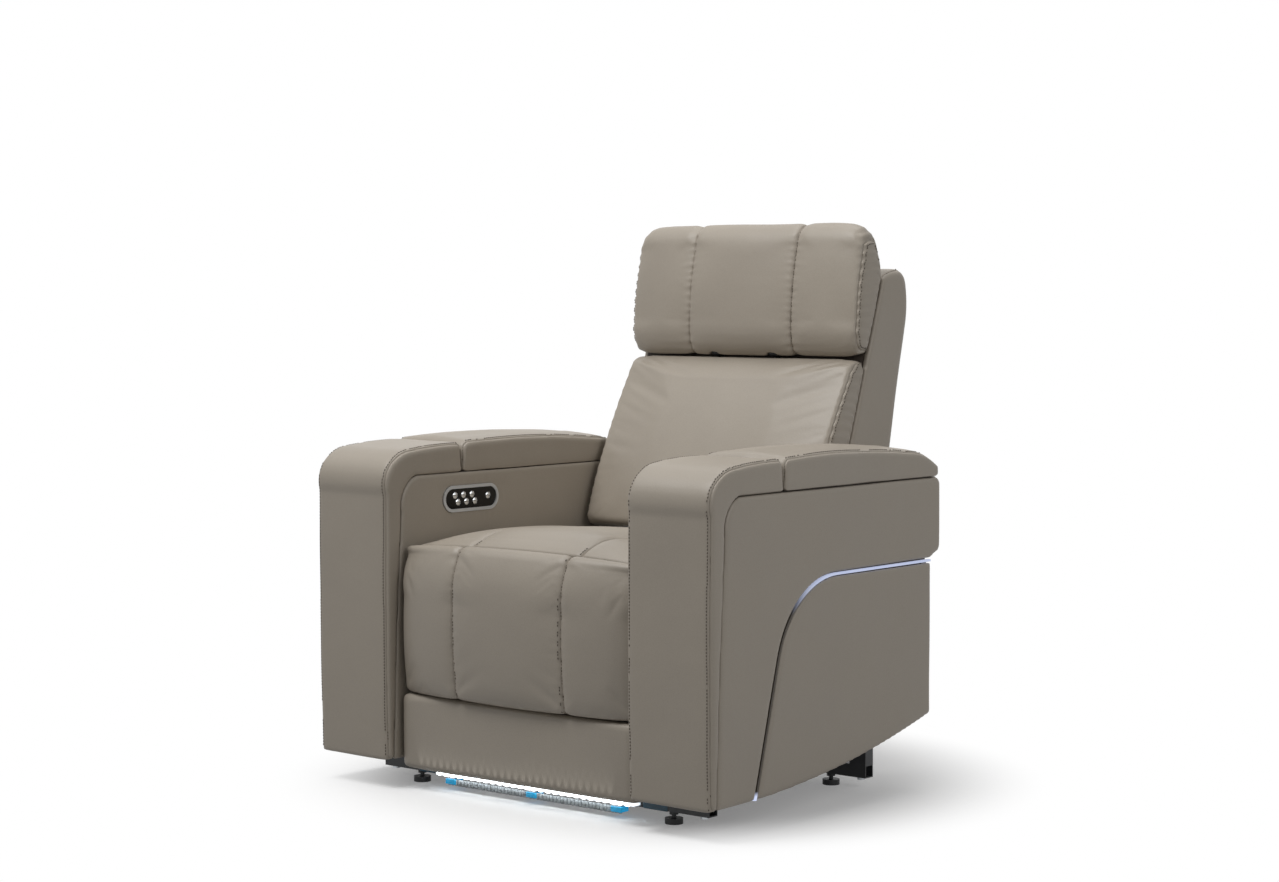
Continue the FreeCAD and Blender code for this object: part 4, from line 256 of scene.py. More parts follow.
rear = max(v.co.y for v in lens_piece.data.vertices)
diodes = copies(lens_piece, "light_bar_diodes", [
    (lambda c, x=x: Vector((c.x + x, c.y - rear + DIODE_REAR, c.z + DIODE_HEIGHT))) for x in diode_places])
bpy.data.objects.remove(lens_piece)
glow, tree, shader = material("diode_lens", Roughness=0.2, IOR=1.49)
place = node(tree, "TexCoord").outputs["Object"]
cloud = node(tree, "TexNoise", {"Vector": place, "Scale": 400.0}).outputs["Fac"]
tint = node(tree, "Mix", {0: cloud, 6: srgb("#eaf8ff"), 7: srgb("#ffffff")}, data_type="RGBA")
tree.links.new(tint.outputs[2], shader.inputs["Emission Color"])
shader.inputs["Emission Strength"].default_value = 5.0
diodes.data.materials.append(glow)
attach(diodes, "base")

# Their light also washes up the kick panel in narrow fans, one over each diode.
FAN_ORIGIN_Y = -0.4145
FAN_ORIGIN_Z = 0.030
for x in diode_places:
    lamp = bpy.data.lights.new("diode_fan", "SPOT")
    lamp.energy = 0.028
    lamp.spot_size = math.radians(34)
    lamp.spot_blend = 1.0
    lamp.shadow_soft_size = 0.001
    lamp.color = (0.93, 0.97, 1.0)
    holder = bpy.data.objects.new("diode_fan", lamp)
    bpy.context.scene.collection.objects.link(holder)
    holder.location = (x, FAN_ORIGIN_Y, FAN_ORIGIN_Z)
    holder.rotation_euler = Vector((0.0, 0.18, 1.0)).to_track_quat("-Z", "Y").to_euler()

# Below the diodes hangs a ribbed strip of clear plastic, which spreads their light forwards: a
# thin plate with an upright rib every 8.4 mm, drawn as one length of plastic.
RIBS = 50
RIB_PITCH = 0.0084
RIB_PLACE = (-0.3512, 0.0152)
bpy.ops.object.select_all(action="DESELECT")
bpy.ops.mesh.primitive_cylinder_add(vertices=10, radius=0.0042, depth=0.0105)
rib = bpy.context.object
bpy.ops.object.mode_set(mode="EDIT")
bpy.ops.mesh.select_all(action="SELECT")
bpy.ops.mesh.bisect(plane_co=(0, 0.0012, 0), plane_no=(0, 1, 0), clear_outer=True, use_fill=True)
bpy.ops.mesh.select_all(action="SELECT")
bpy.ops.transform.resize(value=(0.999, 0.7, 1.0))
bpy.ops.mesh.select_mode(type="FACE")
bpy.ops.mesh.select_all(action="DESELECT")
shape = bmesh.from_edit_mesh(rib.data)
for face in shape.faces:
    face.select = face.normal.z < -0.9
bmesh.update_edit_mesh(rib.data)
bpy.ops.mesh.extrude_region_move(TRANSFORM_OT_translate={"value": (0, 0, -0.0012)})
bpy.ops.transform.resize(value=(0.75, 0.75, 1.0))
bpy.ops.object.mode_set(mode="OBJECT")
ribs = copies(rib, "light_bar_ribs", [
    (lambda c, x=(i - (RIBS - 1) / 2) * RIB_PITCH: Vector((c.x + x, c.y + RIB_PLACE[0], c.z + RIB_PLACE[1])))
    for i in range(RIBS)])
bpy.data.objects.remove(rib)
clear, tree, shader = material("clear_ribbed_plastic", Roughness=0.2, IOR=1.49)
place = node(tree, "TexCoord").outputs["Object"]
cloud = node(tree, "TexNoise", {"Vector": place, "Scale": 120.0}).outputs["Fac"]
tint = node(tree, "Mix", {0: cloud, 6: srgb("#9ba1a5"), 7: srgb("#b4b9bc")}, data_type="RGBA")
tree.links.new(tint.outputs[2], shader.inputs["Base Color"])
ribs.data.materials.append(clear)
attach(ribs, "base")

# Three clips of clear plastic hold the light bar. Their cyan colour and their glow are painted light from
# the bar.
# Each is a block, hollowed from below so that two legs are left, with its edges rounded.
bpy.ops.object.select_all(action="DESELECT")
bpy.ops.mesh.primitive_cube_add(size=1)
clip = bpy.context.object
bpy.ops.object.mode_set(mode="EDIT")
bpy.ops.mesh.select_all(action="SELECT")
bpy.ops.transform.resize(value=(0.024, 0.022, 0.010))
bpy.ops.mesh.select_mode(type="FACE")
bpy.ops.mesh.select_all(action="DESELECT")
shape = bmesh.from_edit_mesh(clip.data)
for face in shape.faces:
    face.select = face.normal.z < -0.9
bmesh.update_edit_mesh(clip.data)
bpy.ops.mesh.inset(thickness=0.004)
bpy.ops.mesh.extrude_region_move(TRANSFORM_OT_translate={"value": (0, 0, 0.006)})
bpy.ops.mesh.select_all(action="SELECT")
bpy.ops.mesh.bevel(offset=0.0012, segments=2, affect="EDGES")
bpy.ops.object.mode_set(mode="OBJECT")
CLIP_PLACES = [Vector((x, -0.3465, 0.0158)) for x in (-0.2, 0.0, 0.2)]
clips = copies(clip, "light_bar_clips", [(lambda c, place=place: c + place) for place in CLIP_PLACES])
bpy.data.objects.remove(clip)
painted_cyan_glow, tree, shader = material("clip_painted_cyan_glow", Roughness=0.25, IOR=1.49)
shader.inputs["Transmission Weight"].default_value = 0.3
place = node(tree, "TexCoord").outputs["Object"]
cloud = node(tree, "TexNoise", {"Vector": place, "Scale": 160.0, "Detail": 2.0}).outputs["Fac"]
# Painted light: the cyan base colour and the emission stand in for the bar's light on the clips.
tint = node(tree, "Mix", {0: cloud, 6: srgb("#0c7fae"), 7: srgb("#25b4e2")}, data_type="RGBA")
tree.links.new(tint.outputs[2], shader.inputs["Base Color"])
tree.links.new(tint.outputs[2], shader.inputs["Emission Color"])
shader.inputs["Emission Strength"].default_value = 0.4
clips.data.materials.append(painted_cyan_glow)
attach(clips, "base")

# A sleeve over each end of the front tube, where it comes out beside the light bar: a square
# moulded tube with rounded edges, pushed on. Its dark cyan colour is painted light from the bar.
SLEEVE_LENGTH = 0.055
SLEEVE_WIDTH = 0.0264
SLEEVE_INNER_END = 0.2445
sleeves = []
for side in (-1, 1):
    bpy.ops.object.select_all(action="DESELECT")
    bpy.ops.mesh.primitive_cube_add(size=1)
    sleeve = bpy.context.object
    bpy.ops.object.mode_set(mode="EDIT")
    bpy.ops.mesh.select_all(action="SELECT")
    bpy.ops.transform.resize(value=(SLEEVE_LENGTH, SLEEVE_WIDTH, SLEEVE_WIDTH))
    bpy.ops.mesh.bevel(offset=0.0022, segments=3, affect="EDGES")
    bpy.ops.transform.translate(value=(side * (SLEEVE_INNER_END + SLEEVE_LENGTH / 2), -0.324, 0.034))
    bpy.ops.object.mode_set(mode="OBJECT")
    sleeves.append(sleeve)
bpy.ops.object.select_all(action="DESELECT")
for sleeve in sleeves:
    sleeve.data.transform(sleeve.matrix_world)
    sleeve.matrix_world.identity()
    sleeve.select_set(True)
bpy.context.view_layer.objects.active = sleeves[0]
bpy.ops.object.join()
sleeves = bpy.context.object
sleeves.name = "front_tube_sleeves"
painted_cyan_light, tree, shader = material("sleeve_painted_cyan_light", IOR=1.5)
# Painted light: the dark cyan stands in for the bar's light falling on the black tube ends.
mottled(tree, shader, "#08384a", "#0b5068", 40.0, (0.3, 0.4), 900.0, 0.0001)
sleeves.data.materials.append(painted_cyan_light)
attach(sleeves, "base")

# The light line in each arm's side: a thin frosted strip, lit from its rear end. It is bluish
# white, loses its light below the bend, and shows it again as a dot at its cut foot.
line, tree, shader = material("side_light_strip", Roughness=0.6, IOR=1.49)
place = node(tree, "TexCoord").outputs["Object"]
height = node(tree, "SeparateXYZ", {0: place}).outputs["Z"]
cloud = node(tree, "TexNoise", {"Vector": place, "Scale": 18.0, "Detail": 2.0}).outputs["Fac"]
tint = node(tree, "Mix", {0: cloud, 6: srgb("#b9c6ee"), 7: srgb("#dfe6fb")}, data_type="RGBA")
bend = node(tree, "MapRange", {"Value": height, "From Min": 0.36, "From Max": 0.424, "To Max": 0.62},
            interpolation_type="SMOOTHSTEP")
foot = node(tree, "MapRange", {"Value": height, "From Min": 0.072, "From Max": 0.064})
power = node(tree, "Math", {0: bend.outputs[0], 1: foot.outputs[0]}, operation="MAXIMUM")
tree.links.new(tint.outputs[2], shader.inputs["Emission Color"])
tree.links.new(power.outputs[0], shader.inputs["Emission Strength"])
# Painted shade: the base colour follows the glow, pale where the strip is lit and dark taupe below the bend
# where it is not.
painted_glow_shade = node(tree, "Mix", {0: bend.outputs[0], 6: srgb("#453f37"), 7: srgb("#a9b3cf")}, data_type="RGBA")
tree.links.new(painted_glow_shade.outputs[2], shader.inputs["Base Color"])
dress(line, "side_light_strips")

# The leather: corrected-grain hide, dyed taupe and finished satin. The grain is about 1.2 mm, the
# hide is never quite even in colour, and it lies over its foam in long shallow waves.
leather, tree, shader = material("taupe_leather", IOR=1.5)
place = node(tree, "TexCoord").outputs["Object"]
wander = node(tree, "TexNoise", {"Vector": place, "Scale": 260.0, "Detail": 2.0}).outputs["Color"]
bent = node(tree, "Mix", {0: 0.0035, 6: place, 7: wander}, data_type="RGBA").outputs[2]
pebble = node(tree, "TexVoronoi", {"Vector": bent, "Scale": 820.0}, feature="SMOOTH_F1").outputs["Distance"]
cloud = node(tree, "TexNoise", {"Vector": place, "Scale": 7.0, "Detail": 4.0}).outputs["Fac"]
tint = node(tree, "Mix", {0: cloud, 6: srgb("#9a9185"), 7: srgb("#a59c8f")}, data_type="RGBA").outputs[2]
pore = node(tree, "MapRange", {"Value": pebble, "From Min": 0.25, "From Max": 0.6, "To Max": 0.10})
tint = node(tree, "Mix", {0: pore.outputs[0], 6: tint, 7: srgb("#5c544a")}, data_type="RGBA").outputs[2]
tree.links.new(tint, shader.inputs["Base Color"])
gloss = node(tree, "MapRange", {"Value": cloud, "From Min": 0.3, "From Max": 0.7,
                                "To Min": 0.43, "To Max": 0.52})
tree.links.new(gloss.outputs[0], shader.inputs["Roughness"])
wave = node(tree, "TexNoise", {"Vector": place, "Scale": 26.0, "Detail": 3.0, "Roughness": 0.45})
slow = node(tree, "Bump", {"Strength": 0.35, "Distance": 0.0018, "Height": wave.outputs["Fac"]})
grain = node(tree, "Bump", {"Strength": 0.5, "Distance": 0.00016, "Height": pebble,
                            "Normal": slow.outputs[0]}, invert=True)
tree.links.new(grain.outputs[0], shader.inputs["Normal"])

# The thread is bonded polyester, dyed like the leather but darker, and half sunk in the holes of
# the needle.
thread, tree, shader = material("taupe_thread", IOR=1.5)
mottled(tree, shader, "#423b32", "#51493f", 300.0, (0.5, 0.65), 3000.0, 0.0001)

# The inner panels of the arms: leather over thin foam, glued to the arm's inner board. The right
# one puckers round the control that is let into it.


def covered(name, sources, voxel, rounds, inset=0.0):
    """Leather over the foam of CAD pieces: their shape with even mesh and softened edges."""
    cover = bpy.data.objects.new(name, bpy.data.meshes.new(name))
    bpy.context.scene.collection.objects.link(cover)
    shape = bmesh.new()
    for source in sources:
        shape.from_mesh(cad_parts[source].data)
    bmesh.ops.remove_doubles(shape, verts=shape.verts, dist=0.00002)
    shape.to_mesh(cover.data)
    shape.free()
    bpy.ops.object.select_all(action="DESELECT")
    cover.select_set(True)
    bpy.context.view_layer.objects.active = cover
    steps = [("REMESH", {"mode": "VOXEL", "voxel_size": voxel, "use_smooth_shade": True}),
             ("SMOOTH", {"factor": 0.5, "iterations": rounds})]
    if inset:
        steps.append(("DISPLACE", {"strength": -inset, "mid_level": 0.0}))
    for kind, settings in steps:
        step = cover.modifiers.new(kind.lower(), kind)
        for key, value in settings.items():
            setattr(step, key, value)
        bpy.ops.object.modifier_apply(modifier=step.name)
    cover.data.materials.clear()
    cover.data.materials.append(leather)
    cover.data.polygons.foreach_set("use_smooth", [True] * len(cover.data.polygons))
    return cover


def shift(cover, move):
    """Moves each point of the leather by the vector move(point, normal)."""
    points = [v.co.copy() for v in cover.data.vertices]
    normals = [Vector(n.vector) for n in cover.data.vertex_normals]
    for vertex, point, normal in zip(cover.data.vertices, points, normals):
        vertex.co = point + move(point, normal)
    cover.data.update()


def press(cover, depth):
    """Moves each point of the leather in along its normal by depth(point, normal), in metres."""
    shift(cover, lambda point, normal: -normal * depth(point, normal))


def ramp(value, low, high):
    """0 below low, 1 above high, and straight between them. High may be the smaller one."""
    return max(0.0, min(1.0, (value - low) / (high - low)))


def waves(point, size, depth):
    """The unevenness of foam under leather: soft hollows of that size and depth."""
    return depth * noise.noise(point / size)


def hide_over(cover, body, *nodes):
    """The finished cover stands for these CAD nodes, moves with the body and is leather."""
    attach(cover, body)
    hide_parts(*nodes)


CONTROL_Y = -0.208
CONTROL_Z = 0.527
CONTROL_END = 0.025
CONTROL_STRAIGHT = 0.0505


def control_pull(point, normal):
    """Puckers that run out from the rim of the control's opening, a long slot with round ends."""
    y = point.y - CONTROL_Y
    z = point.z - CONTROL_Z
    reach = math.hypot(max(abs(y) - CONTROL_STRAIGHT, 0.0), z) - CONTROL_END
    if reach < 0 or reach > 0.04 or normal.x < 0.5:
        return 0.0
    angle = math.atan2(z, y) if abs(y) > CONTROL_STRAIGHT else y / CONTROL_END
    fold = 0.5 + 0.5 * math.sin(9 * angle + 2.5 * noise.noise(point * 60))
    return 0.0011 * fold * math.exp(-reach / 0.012)


for side in ("left", "right"):
    panel = covered(side + "_arm_inner_leather", [side + "_arm_inner_panel"], 0.004, 3)
    press(panel, lambda p, n: waves(p, 0.09, 0.0006) + (control_pull(p, n) if p.x < 0 else 0.0))
    hide_over(panel, "base", side + "_arm_inner_panel")

# The control: a silver-coated rim, brushed along its length, round a gloss black face.
# The seven buttons are small chromed domes.
bezel, tree, shader = material("brushed_silver_rim", Metallic=0.7)
place = node(tree, "TexCoord").outputs["Object"]
along = node(tree, "Mapping", {"Vector": place, "Scale": (900.0, 12.0, 900.0)}).outputs[0]
lines = node(tree, "TexNoise", {"Vector": along, "Scale": 1.0, "Detail": 2.0}).outputs["Fac"]
tint = node(tree, "Mix", {0: lines, 6: srgb("#c3c7cb"), 7: srgb("#dfe2e5")}, data_type="RGBA")
tree.links.new(tint.outputs[2], shader.inputs["Base Color"])
gloss = node(tree, "MapRange", {"Value": lines, "To Min": 0.3, "To Max": 0.42})
tree.links.new(gloss.outputs[0], shader.inputs["Roughness"])
dress(bezel, "control_bezel")
face, tree, shader = material("gloss_black_face", IOR=1.49)
mottled(tree, shader, "#050607", "#0b0c0e", 50.0, (0.06, 0.12), 300.0, 0.00002)
dress(face, "control_face")
chrome, tree, shader = material("chromed_button", Metallic=1.0)
mottled(tree, shader, "#d4d7da", "#e9ebed", 200.0, (0.05, 0.12), 600.0, 0.00001)
dress(chrome, *[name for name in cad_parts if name.startswith("button_")])

# The outer side of each arm is two leather panels over 9 mm foam: the upper one runs down behind
# the front band, and the lower one fills the sweep under the light line. Their edges roll inwards.
for side in ("left", "right"):
    for part, depth in (("upper", 0.0007), ("lower", 0.0009)):
        panel = covered(f"{side}_arm_{part}_side_leather", [f"{side}_arm_{part}_side_panel"], 0.0038, 4)
        press(panel, lambda p, n: waves(p, 0.11, depth))
        hide_over(panel, "base", f"{side}_arm_{part}_side_panel")

# The rear ends of the arms: leather over foam on the arm's rear edge, in two steps.
panel = covered("arm_rear_leather", ["arm_rear_panels"], 0.004, 4)
press(panel, lambda p, n: waves(p, 0.1, 0.0006))
hide_over(panel, "base", "arm_rear_panels")

# The front band of each arm: a crowned pad that goes up the front and back over the top. A seam
# on each corner joins its face to the side strips, with a row of stitches on the face beside it.


def sew(cover, x, depth, reach, where):
    """A seam in the plane at x: rows of points are cut into the leather and drawn in, so that it
    falls to a sharp line. where(point, normal) says how strongly, from 0 to 1."""
    shape = bmesh.new()
    shape.from_mesh(cover.data)
    for share in (-1.0, -0.6, -0.3, -0.12, 0.0, 0.12, 0.3, 0.6, 1.0):
        bmesh.ops.bisect_plane(shape, geom=shape.verts[:] + shape.edges[:] + shape.faces[:], dist=0.00002,
                               plane_co=(x + share * reach, 0, 0), plane_no=(1, 0, 0))
    shape.normal_update()
    moved = []
    for vertex in shape.verts:
        near = abs(vertex.co.x - x) / reach
        if near < 1:
            share = 0.45 * (1 - near) ** 2 + 0.55 * max(0.0, 1 - near / 0.3) ** 2
            drawn = depth * share * where(vertex.co, vertex.normal)
            moved.append((vertex, vertex.co - vertex.normal * drawn))
    for vertex, point in moved:
        vertex.co = point
    shape.to_mesh(cover.data)
    shape.free()
    cover.data.polygons.foreach_set("use_smooth", [True] * len(cover.data.polygons))
    cover.data.update()


STITCH_LENGTH = 0.0038
STITCH_PITCH = 0.0057
THREAD_RADIUS = 0.0009
THREAD_LIFT = 0.0004


def one_stitch():
    """A single stitch: a six-sided roll of thread, drawn thin where it goes into the leather."""
    bpy.ops.object.select_all(action="DESELECT")
    bpy.ops.mesh.primitive_cylinder_add(vertices=6, radius=THREAD_RADIUS, depth=STITCH_LENGTH * 0.55)
    roll = bpy.context.object
    bpy.ops.object.mode_set(mode="EDIT")
    bpy.ops.mesh.select_mode(type="FACE")
    for way in (1, -1):
        bpy.ops.mesh.select_all(action="DESELECT")
        shape = bmesh.from_edit_mesh(roll.data)
        for face in shape.faces:
            face.select = face.normal.z * way > 0.9
        bmesh.update_edit_mesh(roll.data)
        taper = (0, 0, way * STITCH_LENGTH * 0.225)
        bpy.ops.mesh.extrude_region_move(TRANSFORM_OT_translate={"value": taper})
        bpy.ops.transform.resize(value=(0.45, 0.45, 1.0))
    bpy.ops.object.mode_set(mode="OBJECT")
    return roll


def stitched(name, cover, body, rows):
    """Rows of stitches on the leather. Each row follows the seam plane at x, at a distance from it
    over the surface, positive away from the middle, wherever where(point, normal) allows."""
    surface = bmesh.new()
    surface.from_mesh(cover.data)
    tree = BVHTree.FromBMesh(surface)
    moves = []
    for x, offset, middle, where in rows:
        cut = surface.copy()
        found = bmesh.ops.bisect_plane(cut, geom=cut.verts[:] + cut.edges[:] + cut.faces[:], dist=0.00002,
                                       plane_co=(x, 0, 0), plane_no=(1, 0, 0))["geom_cut"]
        edges = {e for e in found if isinstance(e, bmesh.types.BMEdge)}
        while edges:
            first = edges.pop()
            chain = [first.verts[0], first.verts[1]]
            while True:
                following = [e for e in chain[-1].link_edges if e in edges]
                if not following:
                    break
                edges.discard(following[0])
                chain.append(following[0].other_vert(chain[-1]))
            line = [v.co.copy() for v in chain]
            walked = 0.0
            for start, end in zip(line, line[1:]):
                step = (end - start).length
                while step > 1e-9 and walked < step:
                    point = start + (end - start) * (walked / step)
                    walked += STITCH_PITCH
                    _, normal, _, _ = tree.find_nearest(point)
                    ahead = (end - start).normalized()
                    across = normal.cross(ahead).normalized()
                    if across.x * (x - middle) < 0:
                        across = -across
                    spot, normal, _, _ = tree.find_nearest(point + across * offset)
                    if spot is None or where(spot, normal) < 0.5:
                        continue
                    side = normal.cross(ahead).normalized()
                    moves.append(lambda c, s=spot, a=ahead, n=normal, b=side: (
                        s + a * c.z + n * (c.x + THREAD_LIFT) + b * c.y))
                walked -= step
        cut.free()
    surface.free()
    pattern = one_stitch()
    made = copies(pattern, name, moves)
    bpy.data.objects.remove(pattern)
    made.data.materials.append(thread)
    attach(made, body)
    return made


ARM_INNER = 0.286
ARM_OUTER = 0.470
ARM_MIDDLE = (ARM_INNER + ARM_OUTER) / 2
BAND_SEAM_IN = 0.0045
ROW_ASIDE = -0.0055


def on_band(point, normal):
    """The band's front and top, down to its foot and back to its pointed end."""
    return 1.0 if normal.y < -0.25 or (normal.z > 0.2 and point.z > 0.58) else 0.0


for side, sign in (("left", 1), ("right", -1)):
    seams = (sign * (ARM_INNER + BAND_SEAM_IN), sign * (ARM_OUTER - BAND_SEAM_IN))
    band = covered(side + "_arm_band_leather", [side + "_arm_front_band"], 0.004, 4)
    press(band, lambda p, n: waves(p, 0.12, 0.0011))
    for x in seams:
        sew(band, x, 0.0022, 0.005, on_band)
    hide_over(band, "base", side + "_arm_front_band")
    stitched(side + "_arm_band_stitches", band, "base",
             [(x, ROW_ASIDE, sign * ARM_MIDDLE, on_band) for x in seams])

# The lid of each arm's bin: leather over foam, pulled round the board below it, and rounded at its
# front end. A seam with a row of stitches runs along both of its upper edges.


LID_SEAM_IN = 0.005
LID_RIM_DROP = Vector((0, 0, -0.0065))


def on_lid(point, normal):
    """The lid's upper edges, from its front end to its hinge."""
    return 1.0 if point.z > 0.5965 and normal.z > -0.1 and point.y < 0.240 else 0.0


def lid_rim(point, normal):
    """Draws the leather's lower rim down over the gap, on both sides and at the front end."""
    height = ramp(point.z, 0.5935, 0.589) * ramp(point.z, 0.5795, 0.583)
    at_side = ramp(abs(abs(point.x) - ARM_MIDDLE), 0.0865, 0.089)
    at_front = ramp(point.y, -0.2235, -0.2255)
    return LID_RIM_DROP * height * max(at_side, at_front)


for side, sign in (("left", 1), ("right", -1)):
    seams = (sign * (ARM_INNER + LID_SEAM_IN), sign * (ARM_OUTER - LID_SEAM_IN))
    lid = covered(side + "_lid_leather", [side + "_lid_pad", side + "_lid_board"], 0.004, 4)
    press(lid, lambda p, n: waves(p, 0.1, 0.0009))
    shift(lid, lid_rim)
    for x in seams:
        sew(lid, x, 0.002, 0.005, on_lid)
    hide_over(lid, side + "_lid", side + "_lid_pad", side + "_lid_board")
    stitched(side + "_lid_stitches", lid, side + "_lid",
             [(x, ROW_ASIDE, sign * ARM_MIDDLE, on_lid) for x in seams])

# The seat cushion: soft foam under three leather panels, with a high rolled front. Two seams run
# from back to front, each with a row of stitches beside it.


PRESSURE = 4.0
CLOTH_FRAMES = 14


def inflate(cover, held, cap):
    """Lets the leather blow out over its foam with cloth simulation. held(point, normal) says
    which points stay, and no point moves further than the cap."""
    rest = [v.co.copy() for v in cover.data.vertices]
    normals = [Vector(n.vector) for n in cover.data.vertex_normals]
    group = cover.vertex_groups.new(name="held")
    for i, (point, normal) in enumerate(zip(rest, normals)):
        group.add([i], held(point, normal), "REPLACE")
    bpy.ops.object.select_all(action="DESELECT")
    cover.select_set(True)
    bpy.context.view_layer.objects.active = cover
    cloth = cover.modifiers.new("cloth", "CLOTH")
    cloth.settings.vertex_group_mass = group.name
    cloth.settings.use_pressure = True
    cloth.settings.uniform_pressure_force = PRESSURE
    cloth.settings.effector_weights.gravity = 0.0
    cloth.settings.bending_stiffness = 2.0
    cloth.settings.quality = 3
    for number in range(1, CLOTH_FRAMES + 1):
        bpy.context.scene.frame_set(number)
    bpy.ops.object.modifier_apply(modifier=cloth.name)
    bpy.context.scene.frame_set(1)
    for vertex, start in zip(cover.data.vertices, rest):
        step = vertex.co - start
        if step.length > cap:
            vertex.co = start + step * (cap / step.length)
    cover.vertex_groups.clear()
    cover.data.update()


def finer(cover):
    """One level of subdivision, which rounds the leather between its points."""
    bpy.ops.object.select_all(action="DESELECT")
    cover.select_set(True)
    bpy.context.view_layer.objects.active = cover
    step = cover.modifiers.new("finer", "SUBSURF")
    step.levels = 1
    step.render_levels = 1
    bpy.ops.object.modifier_apply(modifier=step.name)


def pucker(point, x, along, spread, pitch, depth):
    """Small folds that a seam at x pulls into the leather beside it."""
    fold = 0.5 + 0.5 * math.sin(2 * math.pi * along / pitch + 3.0 * noise.noise(point * 18))
    return depth * fold * math.exp(-abs(point.x - x) / spread)


def settle(cover, source, where):
    """Lays the leather back on the CAD piece's own surface, by where(point), from 0 to 1."""
    shape = bmesh.new()
    shape.from_mesh(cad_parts[source].data)
    tree = BVHTree.FromBMesh(shape)
    for vertex in cover.data.vertices:
        share = where(vertex.co)
        if share > 0:
            vertex.co = vertex.co.lerp(tree.find_nearest(vertex.co)[0], share)
    shape.free()
    cover.data.update()


SEAT_SEAM = 0.130
SEAT_EDGE = 0.272
SEAM_HALF = 0.007


def on_seat(point, normal):
    """The seat's top and its rolled front, where its seams show."""
    return 1.0 if normal.z > 0.05 or (normal.y < -0.4 and point.z > 0.36) else 0.0


def seat_held(point, normal):
    """The seat's underside, rear, seams and split stay where they are."""
    if point.z < 0.405 or normal.z < -0.2 or point.y > 0.075 or abs(abs(point.x) - SEAT_SEAM) < SEAM_HALF:
        return 1.0
    return ramp(point.y, -0.335, -0.36)


def at_split(point):
    """How near a point is to where the seat's roll is split from the footrest's pad."""
    return ramp(point.y, -0.340, -0.358) if point.y > -0.372 else 1.0


def seat_folds(point, normal):
    """The puckers of both seams, in metres."""
    both = sum(pucker(point, x, point.y, 0.006, 0.017, 0.0006) for x in (SEAT_SEAM, -SEAT_SEAM))
    return both * on_seat(point, normal)


seat = covered("seat_leather", ["seat_cushion"], 0.006, 4, 0.002)
inflate(seat, seat_held, 0.006)
finer(seat)
settle(seat, "seat_cushion", at_split)
press(seat, lambda p, n: waves(p, 0.13, 0.0018) * (1 - at_split(p)) + seat_folds(p, n))
for x in (-SEAT_SEAM, SEAT_SEAM):
    sew(seat, x, 0.0042, 0.011, on_seat)
for x in (-SEAT_EDGE, SEAT_EDGE):
    sew(seat, x, 0.002, 0.006, on_seat)
hide_over(seat, "seat_carriage", "seat_cushion")
stitched("seat_stitches", seat, "seat_carriage",
         [(x, -0.0065, 0.0, on_seat) for x in (-SEAT_SEAM, SEAT_SEAM)])

# The front pad of the footrest carries the seat's roll on down the front, with the same two seams.
# It is sewn shut at its split from the seat, and its lower edge curves over the kick panel.


PAD_LOWER_DROP = Vector((0, 0, -0.003))


def on_pad(point, normal):
    """The pad's front and the start of its top, where its seams show."""
    return 1.0 if normal.y < -0.15 or (normal.z > 0.2 and point.y < -0.385) else 0.0


def pad_held(point, normal):
    """The pad's rear, seams and split stay where they are."""
    if point.y > -0.386 or normal.y > 0.2 or abs(abs(point.x) - SEAT_SEAM) < SEAM_HALF:
        return 1.0
    return 0.0


def pad_split(point):
    """How near a point is to the pad's upper rear edge, which meets the seat's roll."""
    return ramp(point.z, 0.430, 0.445) * ramp(point.y, -0.408, -0.396)


def pad_folds(point, normal):
    """The puckers of both seams, in metres."""
    both = sum(pucker(point, x, point.z, 0.006, 0.016, 0.0006) for x in (SEAT_SEAM, -SEAT_SEAM))
    return both * on_pad(point, normal)


pad = covered("footrest_leather", ["footrest_pad"], 0.005, 3, 0.0015)
inflate(pad, pad_held, 0.005)
finer(pad)
settle(pad, "footrest_pad", pad_split)
shift(pad, lambda p, n: PAD_LOWER_DROP * ramp(n.z, -0.2, -0.6) * ramp(p.z, 0.21, 0.195))
press(pad, lambda p, n: waves(p, 0.12, 0.0014) * (1 - pad_split(p)) + pad_folds(p, n))
for x in (-SEAT_SEAM, SEAT_SEAM):
    sew(pad, x, 0.0036, 0.010, on_pad)
hide_over(pad, "footrest", "footrest_pad")
stitched("footrest_stitches", pad, "footrest",
         [(x, -0.0060, 0.0, on_pad) for x in (-SEAT_SEAM, SEAT_SEAM)])

# The kick panel below it: one plain piece of leather over foam, on the same board.
KICK_UPPER_RISE = Vector((0, 0, 0.0015))
kick = covered("kick_leather", ["kick_pad"], 0.004, 4)
press(kick, lambda p, n: waves(p, 0.14, 0.0012))
shift(kick, lambda p, n: KICK_UPPER_RISE * ramp(n.z, 0.2, 0.6) * ramp(p.z, 0.15, 0.165))
hide_over(kick, "footrest", "kick_pad")

# The flap that bridges the seat and the raised footrest: leather over a thin board, on a hinge.
flap = covered("flap_leather", ["bridge_flap"], 0.003, 2)
press(flap, lambda p, n: waves(p, 0.08, 0.0004))
hide_over(flap, "bridge_flap", "bridge_flap")

# The outer back: leather over a thin foam on a moulded shell, open to the front, with a rounded
# top. A seam runs down each rear corner.


SHELL_SEAM = 0.268


def on_shell(point, normal):
    """The shell's rear and its rounded top."""
    return 1.0 if normal.y > 0.25 or (normal.z > 0.3 and point.z > 0.9) else 0.0


shell = covered("back_shell_leather", ["back_shell"], 0.0045, 4)
press(shell, lambda p, n: waves(p, 0.13, 0.0010))
for x in (-SHELL_SEAM, SHELL_SEAM):
    sew(shell, x, 0.0018, 0.005, on_shell)
hide_over(shell, "back", "back_shell")
stitched("back_shell_stitches", shell, "back",
         [(x, ROW_ASIDE, 0.0, on_shell) for x in (-SHELL_SEAM, SHELL_SEAM)])

